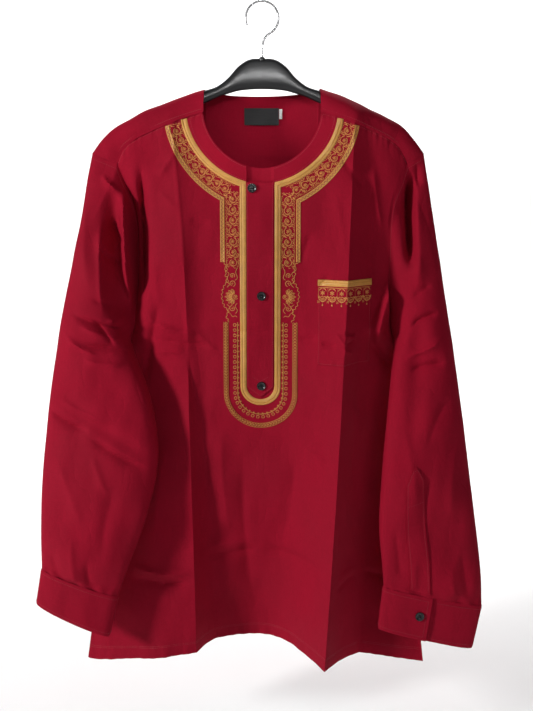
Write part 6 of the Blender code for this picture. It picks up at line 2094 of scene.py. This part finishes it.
def build_hanger():
    """The moulded hanger: ovals along its arms, with a fine parting ridge, and its wire hook."""
    rows = np.array([(-x, top, bottom) for x, top, bottom in reversed(HANGER_ROWS[1:])] + list(HANGER_ROWS))
    x = np.linspace(rows[0, 0], rows[-1, 0], 241)
    top, bottom = along_rows(x, rows[:, 0], rows[:, 1]), along_rows(x, rows[:, 0], rows[:, 2])
    angle = np.linspace(0, 2 * math.pi, 49)
    middle, half = -(top + bottom) / 2, (bottom - top) / 2
    parting = 1 + 0.05 * np.exp(-((np.abs(np.cos(angle)) - 1) / 0.004) ** 2)
    square = np.sign(np.sin(angle)) * np.abs(np.sin(angle)) ** 0.8
    y = RIDGE_DEPTH + HANGER_HALF_DEPTH * 0.98 * square[None, :] + 0 * x[:, None]
    z = middle[:, None] + half[:, None] * (np.cos(angle) * parting)[None, :] * 0.985
    loops = np.stack([np.broadcast_to(x[:, None], y.shape), y, z], axis=-1)
    ends = [np.repeat(loops[i, :-1].mean(axis=0)[None, None], 49, 1) for i in (0, -1)]
    loops = np.concatenate([ends[0], loops, ends[1]])
    sides = 48
    faces = grid_faces(len(loops) - 1, sides, True)
    points = loops[:, :-1].reshape(-1, 3)
    first, last = faces[:sides], faces[-sides:]
    pole = np.stack([np.zeros(sides, int), np.zeros(sides, int), first[:, 2], first[:, 3]], axis=1)
    end = (len(loops) - 1) * sides
    pole_end = np.stack([np.full(sides, end), np.full(sides, end), last[:, 0], last[:, 1]], axis=1)
    faces = np.concatenate([pole, faces[sides:-sides], pole_end])
    a, b, c, d = points[faces[len(faces) // 2]]
    if np.cross(c - a, d - b) @ (a - loops[len(loops) // 2].mean(axis=0)) < 0:
        turned = faces[:, ::-1].copy()
        for part in (slice(0, sides), slice(len(faces) - sides, len(faces))):
            turned[part] = np.stack([faces[part, 0], faces[part, 0], faces[part, 3], faces[part, 2]], axis=1)
        faces = turned
    moulding = add_mesh("hanger_moulding", points, faces, finish("hanger plastic"), None, 50.0)
    dress(moulding, ["hanger"])
    hook = add_tube("hook_wire", hook_path(), HOOK_WIRE_RADIUS, finish("hook wire"), 20)
    dress(hook, ["hanger_hook"])
    foot = -HANGER_ROWS[0][1]
    collar = np.array([[0.0, RIDGE_DEPTH, foot + height] for height in COLLAR_PROFILE[:, 0]])
    piece = add_tube("hook_collar", collar, COLLAR_PROFILE[:, 1], finish("hanger plastic"), 28)
    dress(piece, [])


def hook_path():
    """The hook's middle line: a stem, a bend to one side and an arch over the hang point."""
    centre_z = HOOK_WIRE_RADIUS - HOOK_ARCH_RADIUS
    angle = np.radians(np.linspace(HOOK_START_ANGLE, HOOK_END_ANGLE, 140))
    arch = np.stack([HOOK_ARCH_RADIUS * np.cos(angle), centre_z + HOOK_ARCH_RADIUS * np.sin(angle)], axis=-1)
    foot = np.array([0.0, -(HANGER_ROWS[0][1] - SEAM_ROOM)])
    run = np.array([-np.sin(angle[0]), np.cos(angle[0])]) * HOOK_STEM_BEND
    share = np.linspace(0.0, 1.0, 40, endpoint=False)[:, None]
    foot_pull = foot + np.array([0.0, HOOK_STEM_BEND])
    arch_pull = arch[0] - run
    stem = foot * (1 - share) ** 3 + 3 * foot_pull * share * (1 - share) ** 2
    stem = stem + 3 * arch_pull * share**2 * (1 - share) + arch[0] * share**3
    flat = np.concatenate([stem, arch])
    return np.stack([flat[:, 0], np.full(len(flat), RIDGE_DEPTH), flat[:, 1]], axis=1)


def hem_lines():
    """The hem's stitching, front and back: two lines above the edge."""
    lines = []
    for surface, grid, face in ((on_front, fine_front()[0], -1), (on_back, back_grid()[0], 1)):
        x = np.linspace(grid[-1, 0] + 0.004, grid[-1, -1] - 0.004, 900)
        lines += [panel_line(surface, x, np.full_like(x, HEM_DOWN - rise), face) for rise in HEM_STITCH_RISES]
    return lines


def placket_lines():
    """Stitching round the placket, with the crosswise lines above its point, lifted onto its face."""
    lines = []
    tip_x, tip_down = PLACKET_TIP
    for inset in (0.0018, 0.0075):
        right, left = PLACKET_RIGHT_X + inset, PLACKET_LEFT_X - inset
        point = tip_down - inset * 1.5
        path = np.array([
            (right, PLACKET_TOP_LEVEL + 0.002), (right, PLACKET_POINT_FROM - inset * 0.3), (tip_x, point),
            (left, PLACKET_POINT_FROM - inset * 0.3), (left, PLACKET_TOP_LEVEL + 0.002),
        ])
        if inset > 0.005:
            path = path[1:4] - np.array([0.0, 0.0135])
        path = np.concatenate([stepped(path[i:i + 2], 0.001) for i in range(len(path) - 1)])
        points, normals = panel_line(on_front, path[:, 0], path[:, 1], -1)
        points[:, 1] -= placket_lift(path[:, 0], path[:, 1])
        lines.append((points, normals))
    return lines


def neck_lines():
    """Stitching along the neckline's edge, on both halves of the neck band."""
    lines = []
    for side, end_x in ((-1, -PLACKET_RIGHT_X), (1, PLACKET_LEFT_X)):
        for inset in (0.0022, 0.0200):
            x, down = neck_arc_path(NECK_HALF_WIDTH + inset, NECK_DROP + inset, end_x, side)
            path = stepped(np.stack([x, down], axis=1), 0.001)
            points, normals = panel_line(on_front, path[:, 0], path[:, 1], -1)
            points[:, 1] -= NECK_BAND_LIFT
            lines.append((points, normals))
    return lines


def pocket_lines():
    """Stitching round the pocket's sides and bottom."""
    low = POCKET_BOTTOM_LEVEL - POCKET_TOP_LEVEL - 0.0018
    inset = 0.022
    corner = np.array([(inset, 0.0100), (inset, low), (1 - inset, low), (1 - inset, 0.0100)])
    path = np.concatenate([np.linspace(corner[i], corner[i + 1], 160) for i in range(3)])
    return [panel_line(on_pocket, path[:, 0], path[:, 1], -1, 0.0008)]


def yoke_lines():
    """Stitching beside the yoke's front seams and along its back seam and the back neckline."""
    lines = []
    share = np.linspace(0.02, 0.985, 300)
    for side in (-1, 1):
        for turn, face in ((0.90, -1), (0.93, 1)):
            points, walls = shoulder_arch(side, share, np.full_like(share, turn), face)
            lines.append((points, -walls))
        x = side * (NECK_HALF_WIDTH + share * (YOKE_END_X - NECK_HALF_WIDTH))
        lines.append(panel_line(on_front, x, shoulder_level(share, 2) + 0.0022, -1))
    x = np.linspace(-NECK_HALF_WIDTH, NECK_HALF_WIDTH, 200)
    for across, turn in ((x, 0.94), (x * 0.97, 0.06)):
        points, walls = back_neck_patch(across, np.array([turn]))
        lines.append((points[0], -walls[0]))
    return lines


def sleeve_lines():
    """Stitching beside the armholes, round the cuffs and along the sleeve plackets."""
    lines = []
    for side in (-1, 1):
        sleeve = lambda share, place: on_sleeve(side, share, place)
        cuff = lambda drop, place: on_cuff(side, drop, place)
        place = np.linspace(0.06, 0.94, 500)
        middle = sleeve_grid(side).mean(axis=1)[2]
        lines.append(tube_line(sleeve, np.full_like(place, 0.0105), place, middle))
        middle = cuff_points(side, np.full(9, 0.5), np.linspace(0, 0.9, 9)).mean(axis=0)
        top, bottom = CUFF_STITCH_DROPS
        round_cuff = CUFF_END[side] - np.linspace(0.012, 0.985, 400)
        up_cuff = np.linspace(top, bottom, 80)
        for drop, place in (
            (np.full_like(round_cuff, top), round_cuff),
            (np.full_like(round_cuff, bottom), round_cuff),
            (up_cuff, np.full_like(up_cuff, CUFF_END[side] - 0.012)),
        ):
            points, normals = tube_line(cuff, drop, place, middle)
            lines.append((points + normals * CUFF_PROUD, normals))
        grid = np.stack(sleeve_placket_grid(side), axis=-1)
        face = -1 if grid[..., 1].mean() < 0.5 else 1
        row = int((len(grid) - 1) * (1 - SLEEVE_PLACKET_POINT) * 0.86)
        for path in (np.concatenate([grid[2:-2, 1], grid[2:-2, -2][::-1]]), grid[row, 1:-1]):
            fine = np.concatenate([np.linspace(path[i], path[i + 1], 4) for i in range(len(path) - 1)])
            points, normals = panel_line(sleeve, fine[:, 0], fine[:, 1], face, 0.0015)
            lines.append((points + normals * SLEEVE_PLACKET_LIFT, normals))
    return lines


def build_stitching():
    """All the sewing that shows, as raised running stitches."""
    thread = finish("sewing thread")
    for name, lines in (
        ("hem_stitching", hem_lines()),
        ("placket_stitching", placket_lines()),
        ("neckline_stitching", neck_lines()),
        ("pocket_stitching", pocket_lines()),
        ("yoke_stitching", yoke_lines()),
        ("sleeve_stitching", sleeve_lines()),
    ):
        dress(add_stitches(name, lines, thread), [])


def build_stage():
    """A pale floor that curves up into a backdrop, soft lamps, an even pale sky and the camera."""
    scene = bpy.context.scene
    angle = np.linspace(-math.pi / 2, 0.0, 33)
    bend = SWEEP_BEND
    profile = np.concatenate([
        [[-3.2, -FLOOR_DOWN]],
        np.stack([SWEEP_FLAT + bend * np.cos(angle), -FLOOR_DOWN + bend + bend * np.sin(angle)], axis=1),
        [[SWEEP_FLAT + bend, 3.2]],
    ])
    x = np.linspace(-4.0, 4.0, 25)
    grid = np.stack(np.broadcast_arrays(x[None, :], profile[:, :1], profile[:, 1:]), axis=-1)
    faces = grid_faces(grid.shape[0] - 1, grid.shape[1] - 1)
    sweep = add_mesh("studio_sweep", grid.reshape(-1, 3), faces, finish("studio board"), None, 180.0)
    for name, place, aim, size, power in LAMPS:
        lamp = bpy.data.lights.new(name, "SPOT" if name == "neck light" else "AREA")
        if lamp.type == "SPOT":
            lamp.spot_size, lamp.spot_blend, lamp.shadow_soft_size = NECK_CONE, 1.0, size
        else:
            lamp.shape, lamp.size = "DISK", size
        lamp.energy = power
        holder = bpy.data.objects.new(name, lamp)
        holder.location = place
        holder.rotation_euler = (Vector(aim) - Vector(place)).to_track_quat("-Z", "Y").to_euler()
        scene.collection.objects.link(holder)
    world = bpy.data.worlds.new("pale sky")
    world.use_nodes = True
    world.node_tree.nodes["Background"].inputs["Color"].default_value = (0.96, 0.97, 1.0, 1.0)
    world.node_tree.nodes["Background"].inputs["Strength"].default_value = SKY_STRENGTH
    scene.world = world
    scene.view_settings.view_transform = "Standard"
    camera = bpy.data.cameras.new("photo camera")
    camera.lens = CAMERA_LENS
    camera.sensor_fit = "HORIZONTAL"
    camera.sensor_width = CAMERA_SENSOR
    holder = bpy.data.objects.new("photo camera", camera)
    holder.location = CAMERA_PLACE
    holder.rotation_euler = (math.radians(CAMERA_TILT), 0.0, 0.0)
    scene.collection.objects.link(holder)
    scene.camera = holder


class ShirtSizes(bpy.types.PropertyGroup):
    """Sizes of the cloth and the sewing."""

    cloth: bpy.props.FloatProperty(
        name="Cloth thickness", description="Thickness of the shirt's cloth", default=0.0006, unit="LENGTH",
    )
    cuff: bpy.props.FloatProperty(
        name="Cuff thickness", description="Thickness of a doubled cuff", default=0.0018, unit="LENGTH",
    )
    crease_strength: bpy.props.FloatProperty(
        name="Crease strength", description="How strongly the small creases show",
        default=1.4, subtype="FACTOR",
    )


def colour_property(name, description, default):
    """A colour with its name, its description and its default."""
    return bpy.props.FloatVectorProperty(
        name=name, description=description, default=default, size=3, subtype="COLOR", min=0.0, max=1.0,
    )


class ShirtColours(bpy.types.PropertyGroup):
    """Colours of the cloth, the threads and the trims."""

    cloth: colour_property("Cloth", "Dyed cotton", (0.330, 0.0045, 0.0220))
    border_thread: colour_property("Border thread", "Satin thread of the borders", (0.700, 0.345, 0.072))
    motif_thread: colour_property("Motif thread", "Thread of the scrolls", (0.820, 0.385, 0.095))
    sewing_thread: colour_property("Sewing thread", "Thread of the seams", (0.400, 0.030, 0.050))
    button: colour_property("Buttons", "Polished plastic", (0.012, 0.012, 0.014))
    label: colour_property("Label", "Woven label", (0.016, 0.015, 0.016))
    tab: colour_property("Size tab", "White tape", (0.720, 0.710, 0.690))
    hanger: colour_property("Hanger", "Moulded plastic", (0.010, 0.010, 0.011))
    hook: colour_property("Hook", "Bright wire", (0.620, 0.620, 0.630))
    studio: colour_property("Studio", "Floor and backdrop", (0.830, 0.830, 0.830))


class SHIRT_OT_front(bpy.types.Operator):
    """The folded front panel."""

    bl_idname = "shirt.front"
    bl_label = "Front"

    def execute(self, context):
        build_front()
        return {"FINISHED"}


class SHIRT_OT_yoke(bpy.types.Operator):
    """The yoke over both shoulders."""

    bl_idname = "shirt.yoke"
    bl_label = "Yoke"

    def execute(self, context):
        build_yoke()
        return {"FINISHED"}


class SHIRT_OT_back(bpy.types.Operator):
    """The back panel."""

    bl_idname = "shirt.back"
    bl_label = "Back"

    def execute(self, context):
        build_back()
        return {"FINISHED"}


class SHIRT_OT_sleeves(bpy.types.Operator):
    """Both sleeves."""

    bl_idname = "shirt.sleeves"
    bl_label = "Sleeves"

    def execute(self, context):
        build_sleeves()
        return {"FINISHED"}


class SHIRT_OT_cuffs(bpy.types.Operator):
    """Both buttoned cuffs."""

    bl_idname = "shirt.cuffs"
    bl_label = "Cuffs"

    def execute(self, context):
        build_cuffs()
        return {"FINISHED"}


class SHIRT_OT_sleeve_plackets(bpy.types.Operator):
    """The pointed strips above the cuffs."""

    bl_idname = "shirt.sleeve_plackets"
    bl_label = "Sleeve plackets"

    def execute(self, context):
        build_sleeve_plackets()
        return {"FINISHED"}


class SHIRT_OT_placket(bpy.types.Operator):
    """The buttoned band down the chest."""

    bl_idname = "shirt.placket"
    bl_label = "Front placket"

    def execute(self, context):
        build_placket()
        return {"FINISHED"}


class SHIRT_OT_neck_band(bpy.types.Operator):
    """The band round the neckline."""

    bl_idname = "shirt.neck_band"
    bl_label = "Neck band"

    def execute(self, context):
        build_neck_band()
        return {"FINISHED"}


class SHIRT_OT_borders(bpy.types.Operator):
    """The satin borders round the neck and the placket."""

    bl_idname = "shirt.borders"
    bl_label = "Gold borders"

    def execute(self, context):
        build_borders()
        return {"FINISHED"}


class SHIRT_OT_scrolls(bpy.types.Operator):
    """The scrolls, shells, rings and lattice."""

    bl_idname = "shirt.scrolls"
    bl_label = "Scroll embroidery"

    def execute(self, context):
        build_scrolls()
        return {"FINISHED"}


class SHIRT_OT_pocket(bpy.types.Operator):
    """The chest pocket with its band and lace."""

    bl_idname = "shirt.pocket"
    bl_label = "Pocket"

    def execute(self, context):
        build_pocket()
        return {"FINISHED"}


class SHIRT_OT_stitching(bpy.types.Operator):
    """The sewing that shows."""

    bl_idname = "shirt.stitching"
    bl_label = "Stitching"

    def execute(self, context):
        build_stitching()
        return {"FINISHED"}


class SHIRT_OT_buttons(bpy.types.Operator):
    """Five buttons with their threads."""

    bl_idname = "shirt.buttons"
    bl_label = "Buttons"

    def execute(self, context):
        build_buttons()
        return {"FINISHED"}


class SHIRT_OT_labels(bpy.types.Operator):
    """The label and the size tab inside the neck."""

    bl_idname = "shirt.labels"
    bl_label = "Label and tab"

    def execute(self, context):
        build_labels()
        return {"FINISHED"}


class SHIRT_OT_hanger(bpy.types.Operator):
    """The hanger with its hook."""

    bl_idname = "shirt.hanger"
    bl_label = "Hanger"

    def execute(self, context):
        build_hanger()
        return {"FINISHED"}


class SHIRT_OT_stage(bpy.types.Operator):
    """Floor, backdrop, lamps, sky and camera."""

    bl_idname = "shirt.stage"
    bl_label = "Stage"

    def execute(self, context):
        build_stage()
        return {"FINISHED"}


OPERATORS = (
    SHIRT_OT_front,
    SHIRT_OT_yoke,
    SHIRT_OT_back,
    SHIRT_OT_sleeves,
    SHIRT_OT_cuffs,
    SHIRT_OT_sleeve_plackets,
    SHIRT_OT_placket,
    SHIRT_OT_neck_band,
    SHIRT_OT_borders,
    SHIRT_OT_scrolls,
    SHIRT_OT_pocket,
    SHIRT_OT_stitching,
    SHIRT_OT_buttons,
    SHIRT_OT_labels,
    SHIRT_OT_hanger,
    SHIRT_OT_stage,
)


class SHIRT_PT_panel(bpy.types.Panel):
    """The shirt's sizes, colours and steps."""

    bl_idname = "SHIRT_PT_panel"
    bl_label = "Shirt"
    bl_space_type = "VIEW_3D"
    bl_region_type = "UI"
    bl_category = "Shirt"

    def draw(self, context):
        for group in (context.scene.shirt_sizes, context.scene.shirt_colours):
            for name in type(group).__annotations__:
                self.layout.prop(group, name)
        for operator in OPERATORS:
            self.layout.operator(operator.bl_idname)


CLASSES = (ShirtSizes, ShirtColours, *OPERATORS, SHIRT_PT_panel)


def register():
    for item in CLASSES:
        bpy.utils.register_class(item)
    bpy.types.Scene.shirt_sizes = bpy.props.PointerProperty(type=ShirtSizes)
    bpy.types.Scene.shirt_colours = bpy.props.PointerProperty(type=ShirtColours)


def unregister():
    del bpy.types.Scene.shirt_colours
    del bpy.types.Scene.shirt_sizes
    for item in reversed(CLASSES):
        bpy.utils.unregister_class(item)


def main():
    register()
    for operator in OPERATORS:
        group, step = operator.bl_idname.split(".")
        getattr(getattr(bpy.ops, group), step)()


if __name__ == "__main__":
    main()
